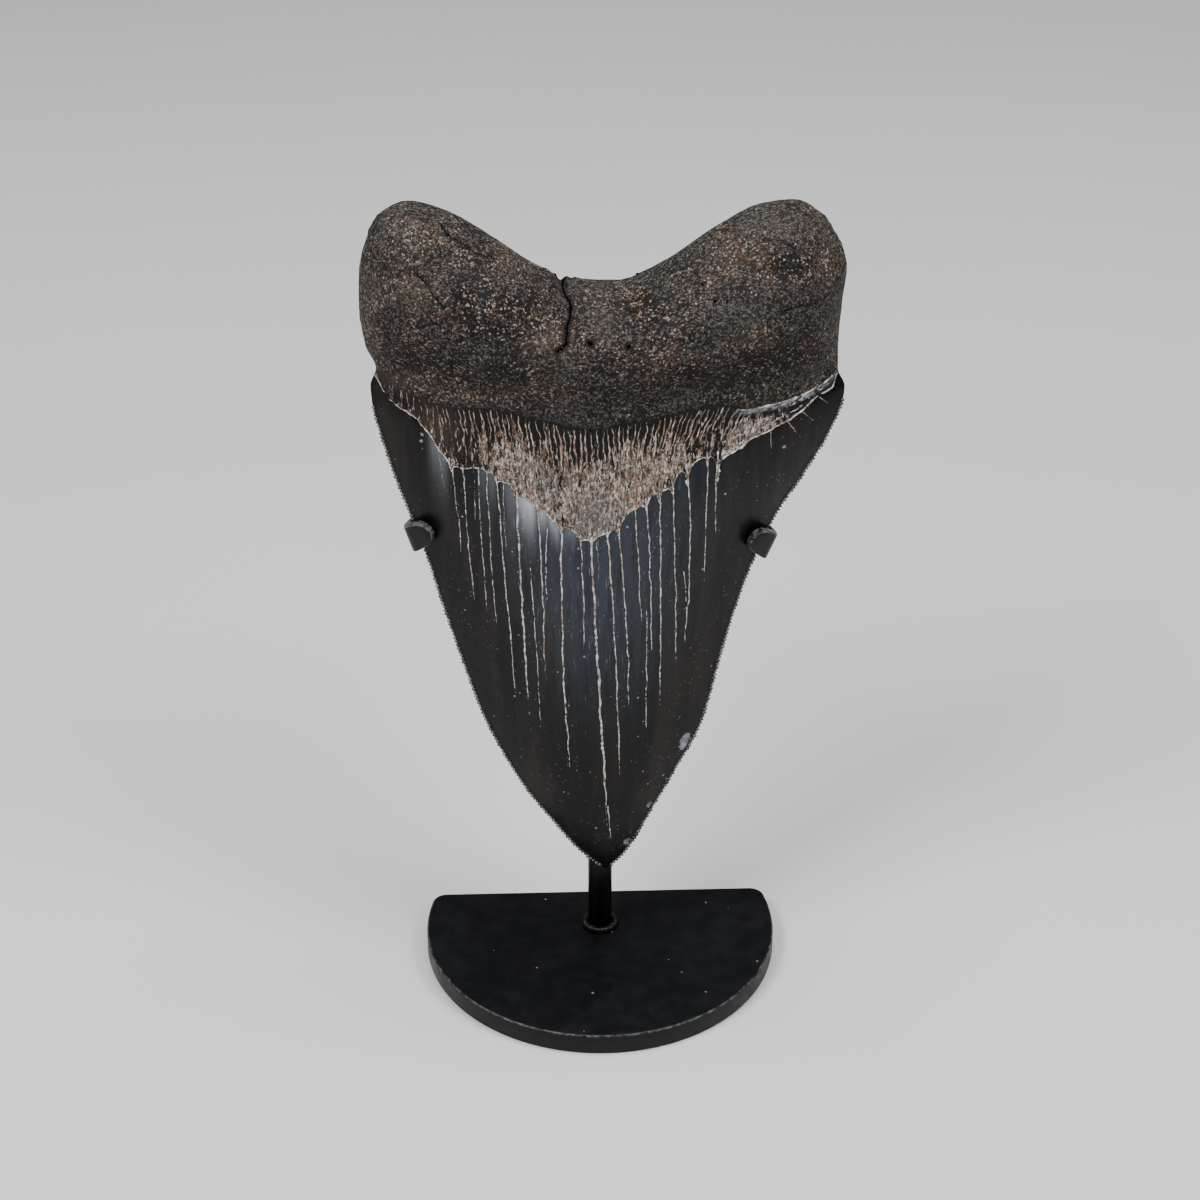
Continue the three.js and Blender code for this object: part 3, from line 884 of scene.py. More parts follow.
class Recipe:
    """A Geometry Nodes tree with named inputs, run on a mesh once and left as a plain mesh."""

    def __init__(self, name: str, **inputs: object) -> None:
        """Starts the tree.

        Args:
            name: the tree's name.
            inputs: default values by name, besides the geometry and the material.
        """
        self.group = bpy.data.node_groups.new(name, "GeometryNodeTree")
        self.group.interface.new_socket("Geometry", in_out="INPUT", socket_type="NodeSocketGeometry")
        add_inputs(self.group, {**inputs, "Material": None})
        self.group.interface.new_socket("Geometry", in_out="OUTPUT", socket_type="NodeSocketGeometry")
        self.tree = Tree(self.group)
        self.given = self.tree.add("NodeGroupInput").outputs
        self.result = self.tree.add("NodeGroupOutput")

    def named(self, name: str) -> Socket:
        """A number that the mesh stores at its points."""
        return self.tree.add("GeometryNodeInputNamedAttribute", {"Name": name}, data_type="FLOAT").outputs[0]

    def end(self, geometry: Socket) -> None:
        """Ends the tree: instances are made real and get the Material input.

        Args:
            geometry: what the tree has made.
        """
        real = self.tree.add("GeometryNodeRealizeInstances", {0: geometry})
        feeds = {"Geometry": real.outputs[0], "Material": self.given["Material"]}
        dressed = self.tree.add("GeometryNodeSetMaterial", feeds)
        self.tree.feed(self.result, 0, dressed.outputs[0])

    def set_along(self, shape: Socket, low: object, high: object) -> Socket:
        """Sets copies of a shape along every polyline of the mesh, one at every Pitch.

        Args:
            shape: a shape of radius 1, which gets the Size input.
            low: the least random factor on its size.
            high: the greatest.

        Returns:
            The instances.
        """
        t, given = self.tree, self.given
        curves = t.add("GeometryNodeMeshToCurve", {0: given[0]}).outputs[0]
        feeds = {"Curve": curves, "Length": given["Pitch"]}
        points = t.add("GeometryNodeCurveToPoints", feeds, mode="LENGTH")
        # A Random Value node has a pair of limits for each kind of number: 2 and 3 are those of plain ones
        feeds = {2: low, 3: high, "Seed": given["Seed"]}
        size = t.add("FunctionNodeRandomValue", feeds, data_type="FLOAT")
        return t.add("GeometryNodeInstanceOnPoints", {
            "Points": points.outputs["Points"], "Instance": shape, "Rotation": points.outputs["Rotation"],
            "Scale": t.scaled(given["Size"], size.outputs[1]),
        }).outputs[0]

    def run(self, ob: bpy.types.Object, name: str, **values: object) -> bpy.types.Object:
        """Runs the tree on an object.

        Args:
            ob: the object whose mesh goes in. It is removed.
            name: the result's name.
            values: input values by socket name, with _ for a space.

        Returns:
            A new object at the origin with the resulting mesh.
        """
        modifier = ob.modifiers.new(self.group.name, "NODES")
        modifier.node_group = self.group
        for item in self.group.interface.items_tree:
            key = item.name.replace(" ", "_")
            if item.item_type == "SOCKET" and item.in_out == "INPUT" and key in values:
                modifier[item.identifier] = values[key]
        graph = bpy.context.evaluated_depsgraph_get()
        graph.update()
        mesh = bpy.data.meshes.new_from_object(ob.evaluated_get(graph), depsgraph=graph)
        bpy.data.objects.remove(ob)
        mesh.name = name
        made = bpy.data.objects.new(name, mesh)
        bpy.context.scene.collection.objects.link(made)
        return made


def grain_recipe() -> Recipe:
    """Pushes a skin inwards by sandy noise, by as much as its stored grain depth says.

    Returns:
        The finished recipe.
    """
    recipe = Recipe("grain_relief", Depth=0.00025, Scale=900.0, Seed=3.0)
    t, given = recipe.tree, recipe.given
    seat = t.add("GeometryNodeInputPosition").outputs[0]
    fine = t.seeded_noise(seat, given["Seed"], given["Scale"], 2.0)
    depth = t.times(t.times(fine, recipe.named("grain")), given["Depth"])
    inward = t.scaled(t.add("GeometryNodeInputNormal").outputs[0], t.times(depth, -1.0))
    moved = t.add("GeometryNodeSetPosition", {"Geometry": given[0], "Offset": inward})
    recipe.end(moved.outputs[0])
    return recipe


def rib_recipe() -> Recipe:
    """Lays a thin, beaded rib along every polyline of a mesh, as wide as the points' stored width says.

    Returns:
        The finished recipe.
    """
    recipe = Recipe("mineral_rib", Beading=0.5, Bead=900.0, Wander=0.0001, Seed=1.0, Sides=5)
    t, given = recipe.tree, recipe.given
    seat = t.add("GeometryNodeInputPosition").outputs[0]
    wander = t.seeded_noise(seat, given["Seed"], 420.0, 3.0)
    sideways = t.times(t.math("SUBTRACT", wander, 0.5), given["Wander"])
    offset = t.add("ShaderNodeCombineXYZ", {"X": sideways}).outputs[0]
    moved = t.add("GeometryNodeSetPosition", {"Geometry": given[0], "Offset": offset}).outputs[0]
    bead = t.seeded_noise(seat, given["Seed"], given["Bead"], 2.0)
    swell = t.math("MULTIPLY_ADD", t.math("MULTIPLY_ADD", bead, 2.0, -1.0), given["Beading"], 1.0)
    radius = t.times(t.times(recipe.named("width"), 0.5), swell)
    feeds = {"Geometry": moved, "Name": "rib_radius", "Value": radius}
    kept = t.add("GeometryNodeStoreNamedAttribute", feeds, data_type="FLOAT", domain="POINT").outputs[0]
    curves = t.add("GeometryNodeMeshToCurve", {0: kept}).outputs[0]
    feeds = {"Resolution": given["Sides"], "Radius": 1.0}
    ring = t.add("GeometryNodeCurvePrimitiveCircle", feeds).outputs[0]
    feeds = {"Curve": curves, "Profile Curve": ring, "Scale": recipe.named("rib_radius"), "Fill Caps": True}
    recipe.end(t.add("GeometryNodeCurveToMesh", feeds).outputs[0])
    return recipe


def serration_recipe() -> Recipe:
    """Sets one small cusp at every step along a cutting edge, each a little different.

    Returns:
        The finished recipe.
    """
    recipe = Recipe("serrations", Pitch=0.0008, Size=(0.0004, 0.0005, 0.0003), Variation=0.2, Seed=7)
    t, given = recipe.tree, recipe.given
    cusp = t.add("GeometryNodeMeshUVSphere", {"Segments": 6, "Rings": 5, "Radius": 1.0}).outputs[0]
    low = t.math("SUBTRACT", 1.0, given["Variation"])
    high = t.math("ADD", 1.0, given["Variation"])
    recipe.end(recipe.set_along(cusp, low, high))
    return recipe


def weld_recipe() -> Recipe:
    """Overlapping ripples of weld metal along a path.

    Returns:
        The finished recipe.
    """
    recipe = Recipe("weld_ripples", Pitch=0.0007, Size=(0.001, 0.001, 0.0008), Seed=2)
    t = recipe.tree
    blob = t.add("GeometryNodeMeshIcoSphere", {"Radius": 1.0, "Subdivisions": 3}).outputs[0]
    real = t.add("GeometryNodeRealizeInstances", {0: recipe.set_along(blob, 0.92, 1.08)}).outputs[0]
    recipe.end(t.add("GeometryNodeSetShadeSmooth", {0: real}).outputs[0])
    return recipe


# The tooth


@dataclass(frozen=True)
class ToothForm:
    """The tooth's outline, thickness and place, the same as in its solid."""

    tip: tuple[float, float, float] = (1.0, -7.5, 25.4)
    lean: float = math.radians(12)
    right_side: tuple = (
        (0, 0), (4.3, 4.2), (14, 9.8), (23.5, 15), (33, 20), (50, 24.6), (61, 27.8), (70, 31), (80, 35.7),
        (88.5, 41.2), (97, 46.1), (103.3, 48.7), (106.5, 49.2), (110.5, 47.7), (118, 47.9), (125.5, 48.5),
        (131.5, 49.2), (136, 48.2), (139.5, 46.2))
    left_side: tuple = ((0, 0), (5, 5.7), (11.8, 11.1), (19, 16.5), (29, 22.1), (37.2, 25.8), (48, 29.3),
                        (62.4, 33.7), (71.8, 36.3), (79.4, 38.9), (88, 42), (98.5, 45.1), (105, 46.6),
                        (108.3, 46.8), (112, 45.6), (117, 47.6), (124, 48.7), (131.5, 48.5), (136, 47.7),
                        (139.5, 46.4))
    root_top: tuple = (
        (-46.4, 139.5), (-43.7, 143.9), (-38.4, 146.2), (-31.2, 144.4), (-22, 139), (-12.4, 132.6),
        (-6, 130), (0, 129.2), (4.3, 129.8), (13, 133.6), (22, 139.7), (32, 144.7), (38.4, 145.4),
        (43.6, 142.8), (46.2, 139.5))
    sag_start: float = 52
    neck_level: float = 113
    shoulder_level: float = 139.5
    neck_sag: float = 11
    sag_power: float = 1.7
    crown_front: tuple = (
        (0, 0), (4, 1.3), (12, 3.2), (28, 5.8), (50, 8.4), (75, 10.6), (95, 11.6), (113, 11.2))
    crown_back: tuple = (
        (0, 0), (4, 0.7), (12, 1.3), (28, 2.1), (50, 2.9), (75, 3.6), (95, 4.2), (113, 4.7))
    root_front: tuple = ((113, 11.2), (116, 12.9), (119.5, 14.9), (123.5, 17), (128, 17.6), (133, 15.9),
                         (139.5, 13))
    root_back: tuple = ((113, 4.7), (117, 5), (123, 5.8), (131, 6.4), (139.5, 6))
    hollow_level: float = 117.2
    hollow_spread: float = 2.6
    hollow_depth: float = 1.9
    lens_power: float = 2.1
    rim_radius: float = 10.5
    lobe_thinning: float = 0.3
    lobe_power: float = 2.6

    def __post_init__(self) -> None:
        """Makes the curves and the tree that finds the nearest point of the root's rim."""
        names = "right_side left_side root_top crown_front crown_back root_front root_back".split()
        for name in names:
            object.__setattr__(self, name + "_at", through(getattr(self, name)))
        level = np.linspace(self.neck_level - 5, self.shoulder_level, 400)
        top = np.linspace(self.root_top[0][0], self.root_top[-1][0], 1600)
        rim = np.vstack([
            np.column_stack([-self.left_side_at(level), level]),
            np.column_stack([self.right_side_at(level), level]),
            np.column_stack([top, self.worn_top(top)]),
        ])
        tree = KDTree(len(rim))
        for i, (x, y) in enumerate(rim):
            tree.insert((x, y, 0), i)
        tree.balance()
        object.__setattr__(self, "rim", tree)

    def worn_top(self, across: np.ndarray) -> np.ndarray:
        """The root's upper outline, with a nick and a flat floor in its notch."""
        nick = 1.3 * np.exp(-(((across + 8.2) / 0.8) ** 2)) + 0.4 * np.exp(-(((across - 4.8) / 1.2) ** 2))
        return self.root_top_at(across) - nick + 0.35 * np.exp(-(((across + 1.5) / 4.2) ** 4))

    def outline(self, side: np.ndarray, level: np.ndarray) -> tuple[np.ndarray, np.ndarray]:
        """Where the levels' lines cross the tooth.

        Args:
            side: from -1 at the left edge to 1 at the right.
            level: the row's level, in mm.

        Returns:
            Across and up of each point, in mm.
        """
        left, right = self.left_side_at(level), self.right_side_at(level)
        across = -left + (left + right) * (side + 1) / 2
        sag = self.neck_sag * (1 - np.abs(side) ** self.sag_power)
        crown = level - sag * smoothstep(level, self.sag_start, self.neck_level)
        share = (level - self.neck_level) / (self.shoulder_level - self.neck_level)
        neck = self.neck_level - sag
        root = neck + (self.worn_top(across) - neck) * share
        return across, np.where(level <= self.neck_level, crown, root)

    def depths(self, side: np.ndarray, level: np.ndarray) -> tuple[np.ndarray, np.ndarray]:
        """How far the domed face and the back stand from the plane of the cutting edges.

        Args:
            side: from -1 at the left edge to 1 at the right.
            level: the row's level, in mm.

        Returns:
            Two distances for each point, in mm.
        """
        across, up = self.outline(side, level)
        edge = np.abs(side)
        lens = 1 - edge ** self.lens_power
        near = np.array([self.rim.find((x, y, 0))[2] for x, y in zip(across, up)])
        inset = 1 - np.minimum(near / self.rim_radius, 1)
        rounded = np.sqrt(1 - inset * inset) * (1 - self.lobe_thinning * edge ** self.lobe_power)
        root = smoothstep(level, 108, 118)
        bell = np.exp(-(((level - self.hollow_level) / self.hollow_spread) ** 2))
        hollow = self.hollow_depth * bell * smoothstep(edge, 0.12, 0.5) * rounded
        crown, lobes = (1 - root) * lens, root * rounded
        front = crown * self.crown_front_at(level) + lobes * self.root_front_at(level) - hollow
        back = crown * self.crown_back_at(level) + lobes * self.root_back_at(level)
        return front, back

    def in_frame(self, across: np.ndarray, up: np.ndarray, out: np.ndarray) -> np.ndarray:
        """Turns the tooth's own millimetres into the row's metres.

        Args:
            across: towards the right edge.
            up: towards the root.
            out: towards the viewer.

        Returns:
            N by 3 points.
        """
        s, c = math.sin(self.lean), math.cos(self.lean)
        x = self.tip[0] + across
        y = self.tip[1] + up * s - out * c
        z = self.tip[2] + up * c + out * s
        return np.column_stack([x, y, z]) * MM

    def directions(self) -> tuple[Vector, Vector, Vector]:
        """The tooth's across, up and out directions in the row's frame."""
        s, c = math.sin(self.lean), math.cos(self.lean)
        return Vector((1, 0, 0)), Vector((0, s, c)), Vector((0, -c, s))


@dataclass(frozen=True)
class Crack:
    """A crack of the enamel: its upper and lower end, how far its middle bows, and its width, all in mm."""

    top: Point2
    foot: Point2
    bow: float = 0.0
    width: float = 0.3
    dip: float = 0.9

    def path(self, step: float = 0.45) -> np.ndarray:
        """Points along the crack.

        Args:
            step: about how far apart the points lie, in mm.

        Returns:
            N by 2 points, in mm.
        """
        a, b = np.array(self.top), np.array(self.foot)
        count = max(3, int(np.linalg.norm(b - a) / step))
        t = np.linspace(0, 1, count)
        line = a + (b - a) * t[:, None]
        line[:, 0] += self.bow * 4 * t * (1 - t)
        return line


@dataclass
class ToothSurface:
    """What is found on the tooth: boundaries, cracks and pits, in the tooth's own millimetres.

    A root crack has its path, depth and width, and a pit its place, radius and depth. A spot has its place
    and its two half sizes; the shade spots are painted shade and the bright spots painted light on the root.
    A panel of painted sheen has its middle, half width, reach down the crown and strength.
    """

    enamel_line: tuple = (
        (-46.8, 112.4), (-45.6, 110.4), (-42.9, 105.8), (-38.2, 102.9), (-36.0, 100.6), (-34.3, 98.2),
        (-32.4, 95.6), (-30.7, 94.2), (-27.7, 93.1), (-25.4, 93.6), (-23.1, 92.4), (-21.1, 91.1),
        (-19.1, 90.2), (-17.8, 88.1), (-16.5, 87.6), (-14.2, 86.2), (-12.5, 85.1), (-10.9, 83.2),
        (-8.9, 81.0), (-7.3, 80.9), (-5.3, 79.3), (-2.6, 78.3), (-1.4, 79.4), (0.4, 80.7), (2.2, 81.2),
        (3.5, 82.9), (5.5, 85.0), (7.7, 86.3), (9.5, 88.2), (13.1, 90.2), (14.5, 92.4), (18.1, 94.6),
        (21.7, 96.2), (24.3, 95.6), (27.7, 96.4), (29.4, 98.0), (33.1, 99.4), (39.0, 102.1), (43.8, 105.6),
        (46.6, 106.9), (47.4, 109.4), (49.4, 110.6))
    neck_line: tuple = (
        (-47.5, 115.4), (-45.5, 112.8), (-41.1, 108.9), (-37.8, 107.4), (-34.4, 106.2), (-31.5, 105.6),
        (-24.4, 105.8), (-17.9, 105.1), (-14.6, 103.8), (-10.3, 103.2), (-5.8, 102.0), (-1.1, 101.7),
        (2.3, 102.3), (7.6, 103.2), (13.0, 104.1), (20.2, 105.5), (23.8, 105.7), (28.6, 104.6),
        (33.0, 105.0), (38.6, 105.9), (42.2, 107.1), (46.1, 109.2), (47.6, 111.2), (49.4, 112.4))
    cracks: tuple = (
        Crack((-33.5, 97.0), (-32.2, 84.0), 0.2, 0.2, 0.0),
        Crack((-30.7, 94.3), (-29.1, 72.4), 0.1, 0.26, 2.6),
        Crack((-28.4, 93.3), (-26.4, 60.9), -0.4, 0.34, 0.7),
        Crack((-26.3, 93.4), (-26.3, 80.0), 0.1, 0.2, 0.3),
        Crack((-25.4, 93.2), (-24.0, 55.9), -0.2, 0.26, 0.5),
        Crack((-23.7, 92.5), (-22.2, 55.7), -0.2, 0.3, 0.5),
        Crack((-21.7, 91.4), (-18.3, 37.8), -0.1, 0.36, 1.2),
        Crack((-20.3, 90.4), (-20.0, 74.0), -0.2, 0.24, 0.3),
        Crack((-17.8, 88.3), (-15.8, 37.8), -0.2, 0.46, 1.4),
        Crack((-15.2, 72.0), (-13.5, 31.5), 0.2, 0.24, 0.0),
        Crack((-13.6, 85.6), (-12.6, 45.5), 0.3, 0.36, 2.2),
        Crack((-11.6, 82.0), (-11.9, 62.5), -0.3, 0.24, 0.0),
        Crack((-8.8, 81.1), (-7.3, 22.5), -0.7, 0.44, 1.6),
        Crack((-5.0, 79.3), (-4.4, 51.0), 0.1, 0.28, 0.9), Crack((-2.9, 78.6), (0.2, 11.5), 0.0, 0.6, 0.2),
        Crack((0.5, 16.5), (1.3, 6.9), -0.2, 0.3, 0.0), Crack((-1.8, 79.0), (-1.4, 68.4), 0.1, 0.2, 0.1),
        Crack((0.4, 80.6), (2.9, 19.0), 0.5, 0.38, 1.9), Crack((2.7, 81.6), (4.9, 35.0), 0.5, 0.32, 2.6),
        Crack((6.1, 85.4), (7.5, 56.2), 0.0, 0.28, 0.5), Crack((8.5, 62.0), (8.3, 31.0), 0.1, 0.28, 0.0),
        Crack((8.3, 86.8), (9.4, 48.0), 0.4, 0.34, 2.4), Crack((11.0, 88.9), (11.3, 36.0), 0.2, 0.36, 3.2),
        Crack((13.6, 90.6), (14.6, 44.3), 0.3, 0.34, 3.6),
        Crack((16.6, 93.6), (16.2, 50.2), 1.0, 0.36, 4.6),
        Crack((16.0, 70.0), (17.0, 58.0), 0.2, 0.22, 0.0),
        Crack((20.7, 95.9), (20.4, 64.2), 0.1, 0.32, 2.2),
        Crack((22.9, 95.8), (22.7, 75.6), -0.2, 0.3, 6.5))
    root_cracks: tuple = (
        (((-8.2, 131.5), (-7.3, 130.4), (-7.7, 129.3), (-7.6, 128.0), (-6.5, 126.7), (-6.5, 124.9),
          (-7.3, 123.0), (-7.5, 120.3), (-8.9, 119.1)), 1.5, 0.42),
        (((-32.0, 142.8), (-30.5, 140.8), (-27.2, 138.9), (-24.4, 136.9), (-20.7, 135.7)), 0.5, 0.26),
        (((-44.7, 136.3), (-42.8, 135.1), (-40.6, 133.4), (-38.8, 135.4), (-37.3, 133.6)), 0.35, 0.24),
        (((-37.3, 135.0), (-34.7, 133.0), (-33.4, 130.5), (-31.0, 127.9)), 0.45, 0.3),
        (((29.7, 139.1), (32.7, 139.6), (35.6, 139.2), (38.0, 137.4)), 0.4, 0.24),
        (((33.7, 125.2), (36.3, 126.4), (38.6, 127.0), (41.0, 127.1), (42.6, 126.3), (44.2, 124.9)),
         0.4, 0.24))
    pits: tuple = ((-2.8, 120.3, 0.75, 0.9), (4.7, 119.6, 0.65, 0.9), (19.3, 131.0, 0.4, 0.5),
                   (21.7, 128.2, 0.45, 0.6), (24.0, 128.5, 0.35, 0.5), (-1.4, 119.2, 0.3, 0.3))
    # Painted shade: dark patches on the root, most under its bulges and along its neck
    shade_spots: tuple = (
        (-37.5, 115.8, 5.0, 2.6), (-31.5, 115.2, 4.0, 2.2), (-19.0, 114.6, 6.0, 2.8),
        (16.9, 114.3, 5.0, 2.4), (29.7, 114.6, 6.5, 3.2), (37.2, 116.4, 6.0, 3.6), (-22.0, 123.5, 7.0, 2.2),
        (-16.5, 127.5, 4.5, 2.2), (7.2, 126.6, 3.6, 2.6), (36.5, 135.0, 4.5, 2.6), (-27.5, 128.5, 2.6, 4.0))
    # Painted light: brighter patches on the root where light falls
    bright: tuple = (
        (-12.5, 121.8, 4.6, 2.4), (-37.0, 131.0, 5.5, 5.0), (24.0, 125.6, 7.0, 2.6),
        (33.0, 131.0, 5.0, 2.6), (0.0, 124.0, 3.0, 3.0), (-38.0, 141.0, 8.0, 4.0), (34.0, 142.0, 8.0, 3.0),
        (-7.0, 106.5, 5.0, 1.8))
    rusty: tuple = (
        (-38.0, 110.0, 8.0, 2.2), (-28.0, 108.2, 6.0, 1.8), (-46.6, 124.0, 2.6, 10.0),
        (12.0, 117.0, 6.0, 2.6), (-12.0, 121.0, 4.5, 2.4), (-37.0, 131.0, 4.5, 3.5),
        (30.0, 120.5, 5.0, 2.2), (-14.0, 111.0, 6.0, 2.4), (-18.0, 135.0, 3.5, 2.6),
        (44.0, 134.0, 2.4, 5.0), (26.0, 137.0, 5.0, 3.0), (-34.0, 100.5, 5.0, 5.0))
    # Panels of painted sheen that fade down from the enamel's upper edge
    panels: tuple = (
        (-15.8, 1.75, 5.5, 1.0), (-12.6, 0.9, 3.5, 0.75), (-10.4, 1.2, 3.0, 0.6), (-19.2, 1.3, 8.0, 0.22),
        (-22.7, 0.9, 6.0, 0.16), (-24.6, 0.8, 7.0, 0.14), (-33.4, 1.9, 7.0, 0.24), (-6.8, 1.6, 2.5, 0.2))
    chips: tuple = ((17.0, 29.8, 1.3, 1.3), (9.6, 15.0, 0.8, 0.8), (4.6, 6.6, 0.8, 0.8))
    greyed: tuple = ((-2.0, 83.0, 5.5, 4.5), (-12.0, 91.0, 4.0, 3.0), (30.0, 100.0, 5.0, 2.0))
    # Painted shade on the back, under the root's edge
    back_shade_spots: tuple = ((-24.0, 114.0, 9.0, 4.0), (18.0, 113.0, 11.0, 4.0))
    back_rusty: tuple = ((-30.0, 128.0, 9.0, 6.0), (22.0, 130.0, 12.0, 5.0))
    lip_height: float = 0.5
    band_hollow: float = 0.9

    def __post_init__(self) -> None:
        """Makes the two boundary curves."""
        self.smooth_enamel = through(self.enamel_line)
        self.neck_at = through(self.neck_line)

    def enamel_at(self, x: np.ndarray) -> np.ndarray:
        """The enamel's upper edge: it runs down into the top of every crack that reaches it.

        Args:
            x: places across the tooth, in mm.

        Returns:
            The edge's height at each, in mm.
        """
        line = self.smooth_enamel(x)
        for crack in self.cracks:
            away = np.abs(np.asarray(x, float) - crack.top[0])
            line = line - crack.dip * (0.55 * np.exp(-away / 0.28) + 0.45 * np.exp(-away / 0.85))
        return line

    @staticmethod
    def spots(flat: np.ndarray, places: Sequence[tuple]) -> np.ndarray:
        """Soft oval spots, 1 at their middles.

        Args:
            flat: across and up of each point.
            places: across, up, half width and half height of each spot.

        Returns:
            One value for each point.
        """
        total = np.zeros(len(flat))
        for x, y, wide, high in places:
            away = ((flat[:, 0] - x) / wide) ** 2 + ((flat[:, 1] - y) / high) ** 2
            total = np.maximum(total, np.exp(-away))
        return total

    def crust_share(self, flat: np.ndarray) -> np.ndarray:
        """How thickly crust lies on the bourlette: most along the enamel, least under the root.

        Args:
            flat: across and up of each point, in mm.

        Returns:
            A share from 0 to 1 for each point.
        """
        x, y = flat[:, 0], flat[:, 1]
        low, high = self.enamel_at(x), self.neck_at(x)
        share = 1 - np.clip((y - low) / np.maximum(high - low, 0.5), 0, 1)
        middle = np.exp(-(((x - 2) / 18) ** 2))
        right = smoothstep(x, 20, 27) * (1 - smoothstep(x, 32, 41)) * 0.62
        left = np.exp(-(((x + 19) / 8) ** 2)) * 0.5 + 0.28 * smoothstep(-x, 26, 32)
        return np.clip(share * 1.7 - 0.05, 0, 1) * np.clip(middle + right + left, 0, 1)

    def core_share(self, flat: np.ndarray) -> np.ndarray:
        """Where the enamel is blue grey rather than black: partly its own colour, partly a painted sheen.

        Args:
            flat: across and up of each point, in mm.

        Returns:
            A share from 0 to 1 for each point.
        """
        x, y = flat[:, 0], flat[:, 1]
        middle = np.exp(-np.abs((x + 1) / (4 + 0.19 * y)) ** 2.6)
        return middle * smoothstep(y, 26, 70)

    def relief(self, flat: np.ndarray, side: np.ndarray) -> dict[str, np.ndarray]:
        """Everything that shapes and colours the domed face beyond its smooth form.

        Args:
            flat: across and up of each point, in mm.
            side: each point's share of the width, from -1 to 1.

        Returns:
            The depth to cut, in mm, and the values that the finish reads, by name.
        """
        x, y = flat[:, 0], flat[:, 1]
        above_enamel = y - self.enamel_at(x)
        above_neck = y - self.neck_at(x)
        lens = 1 - np.abs(side) ** 2.1
        band = smoothstep(above_enamel, -0.1, 0.5) * (1 - smoothstep(above_neck, -2.0, 2.0))
        share = np.clip(above_enamel / np.maximum(above_enamel - above_neck, 0.5), 0, 1)
        cut = band * (self.lip_height + self.band_hollow * np.sin(np.pi * share)) * lens
        root = smoothstep(above_neck, 0.0, 5.0)
        lumps = 0.55 * noise_at(flat, 17.0, 4.0, 2) + 0.22 * noise_at(flat, 5.0, 9.0, 3)
        cut = cut + root * lens ** 0.5 * (0.45 - lumps)
        collar = np.exp(-(((above_neck - 1.3) / 1.1) ** 2)) * (1 - 0.8 * smoothstep(x, 24, 32))
        cut = cut - 0.5 * collar * lens ** 0.5
        # Painted shadow: groove marks the cracks and pits whose floors are painted dark
        groove = np.zeros(len(flat))
        for path, depth, width in self.root_cracks:
            wavy = flat + 0.28 * np.column_stack([noise_at(flat, 1.6, 21.0, 2), noise_at(flat, 1.6, 33.0, 2)])
            near = path_distance(wavy, path)
            shape = np.exp(-((near / width) ** 2))
            cut = cut + depth * shape
            groove = np.maximum(groove, shape * min(depth, 1.0))
        for px, py, wide, depth in self.pits:
            shape = np.exp(-((np.hypot(x - px, y - py) / wide) ** 4))
            cut = cut + depth * shape
            groove = np.maximum(groove, shape)
        bare = smoothstep(-above_enamel, 0.0, 1.0)
        ripple = 0.05 * np.cos(x * 2 * np.pi / 2.6 + 0.6 * np.sin(x)) * smoothstep(y, 25, 60) * bare
        cut = cut + (ripple + 0.05 * bare * noise_at(flat * np.array([1.0, 0.25]), 3.0, 14.0, 2)) * lens
        crust = self.crust_share(flat)
        rough_band = band * crust * 0.35 * (noise_at(flat, 0.9, 51.0, 3) + 0.3)
        cut = cut + 0.12 * band * np.cos(x * 2 * np.pi / 1.3 + 1.4 * noise_at(flat, 6.0, 91.0, 2)) * lens
        chips = self.spots(flat, self.chips)
        cut = cut + rough_band * lens + 0.55 * smoothstep(chips, 0.3, 0.7)
        scar = self.spots(flat, self.greyed)
        # Painted sheen: the panels, strongest at the enamel's upper edge
        sheen = np.zeros(len(flat))
        for middle, half, reach, strength in self.panels:
            wide = np.exp(-(((x - middle) / half) ** 4))
            fading = np.exp(-((np.maximum(-above_enamel, 0) / reach) ** 1.6))
            sheen = np.maximum(sheen, strength * wide * fading)
        sheen = sheen * smoothstep(-above_enamel, -0.2, 0.5)
        # Painted highlight: a pale streak just under the root's edge on the right
        under_root = smoothstep(above_neck, -1.8, -1.2) * (1 - smoothstep(above_neck, -0.9, -0.3))
        rim = smoothstep(x, 25, 31) * (1 - 0.7 * smoothstep(x, 39, 46)) * under_root
        return {
            "cut": cut,
            "enamel_mm": above_enamel,
            "neck_mm": above_neck,
            # Painted shade and painted light on the root
            "hollow": np.clip(1.3 * self.spots(flat, self.shade_spots), 0, 1) * root,
            "light": np.clip(self.spots(flat, self.bright), 0, 1) * root,
            "warm": np.clip(self.spots(flat, self.rusty), 0, 1),
            "crust": crust,
            "grey": np.clip(scar, 0, 1),
            # Painted sheen and painted highlight
            "pale": np.clip(0.85 * sheen + 0.8 * rim, 0, 1),
            "core": self.core_share(flat),
            "groove": groove,
            "grain": np.clip(root + 0.6 * band * crust, 0, 1),
        }


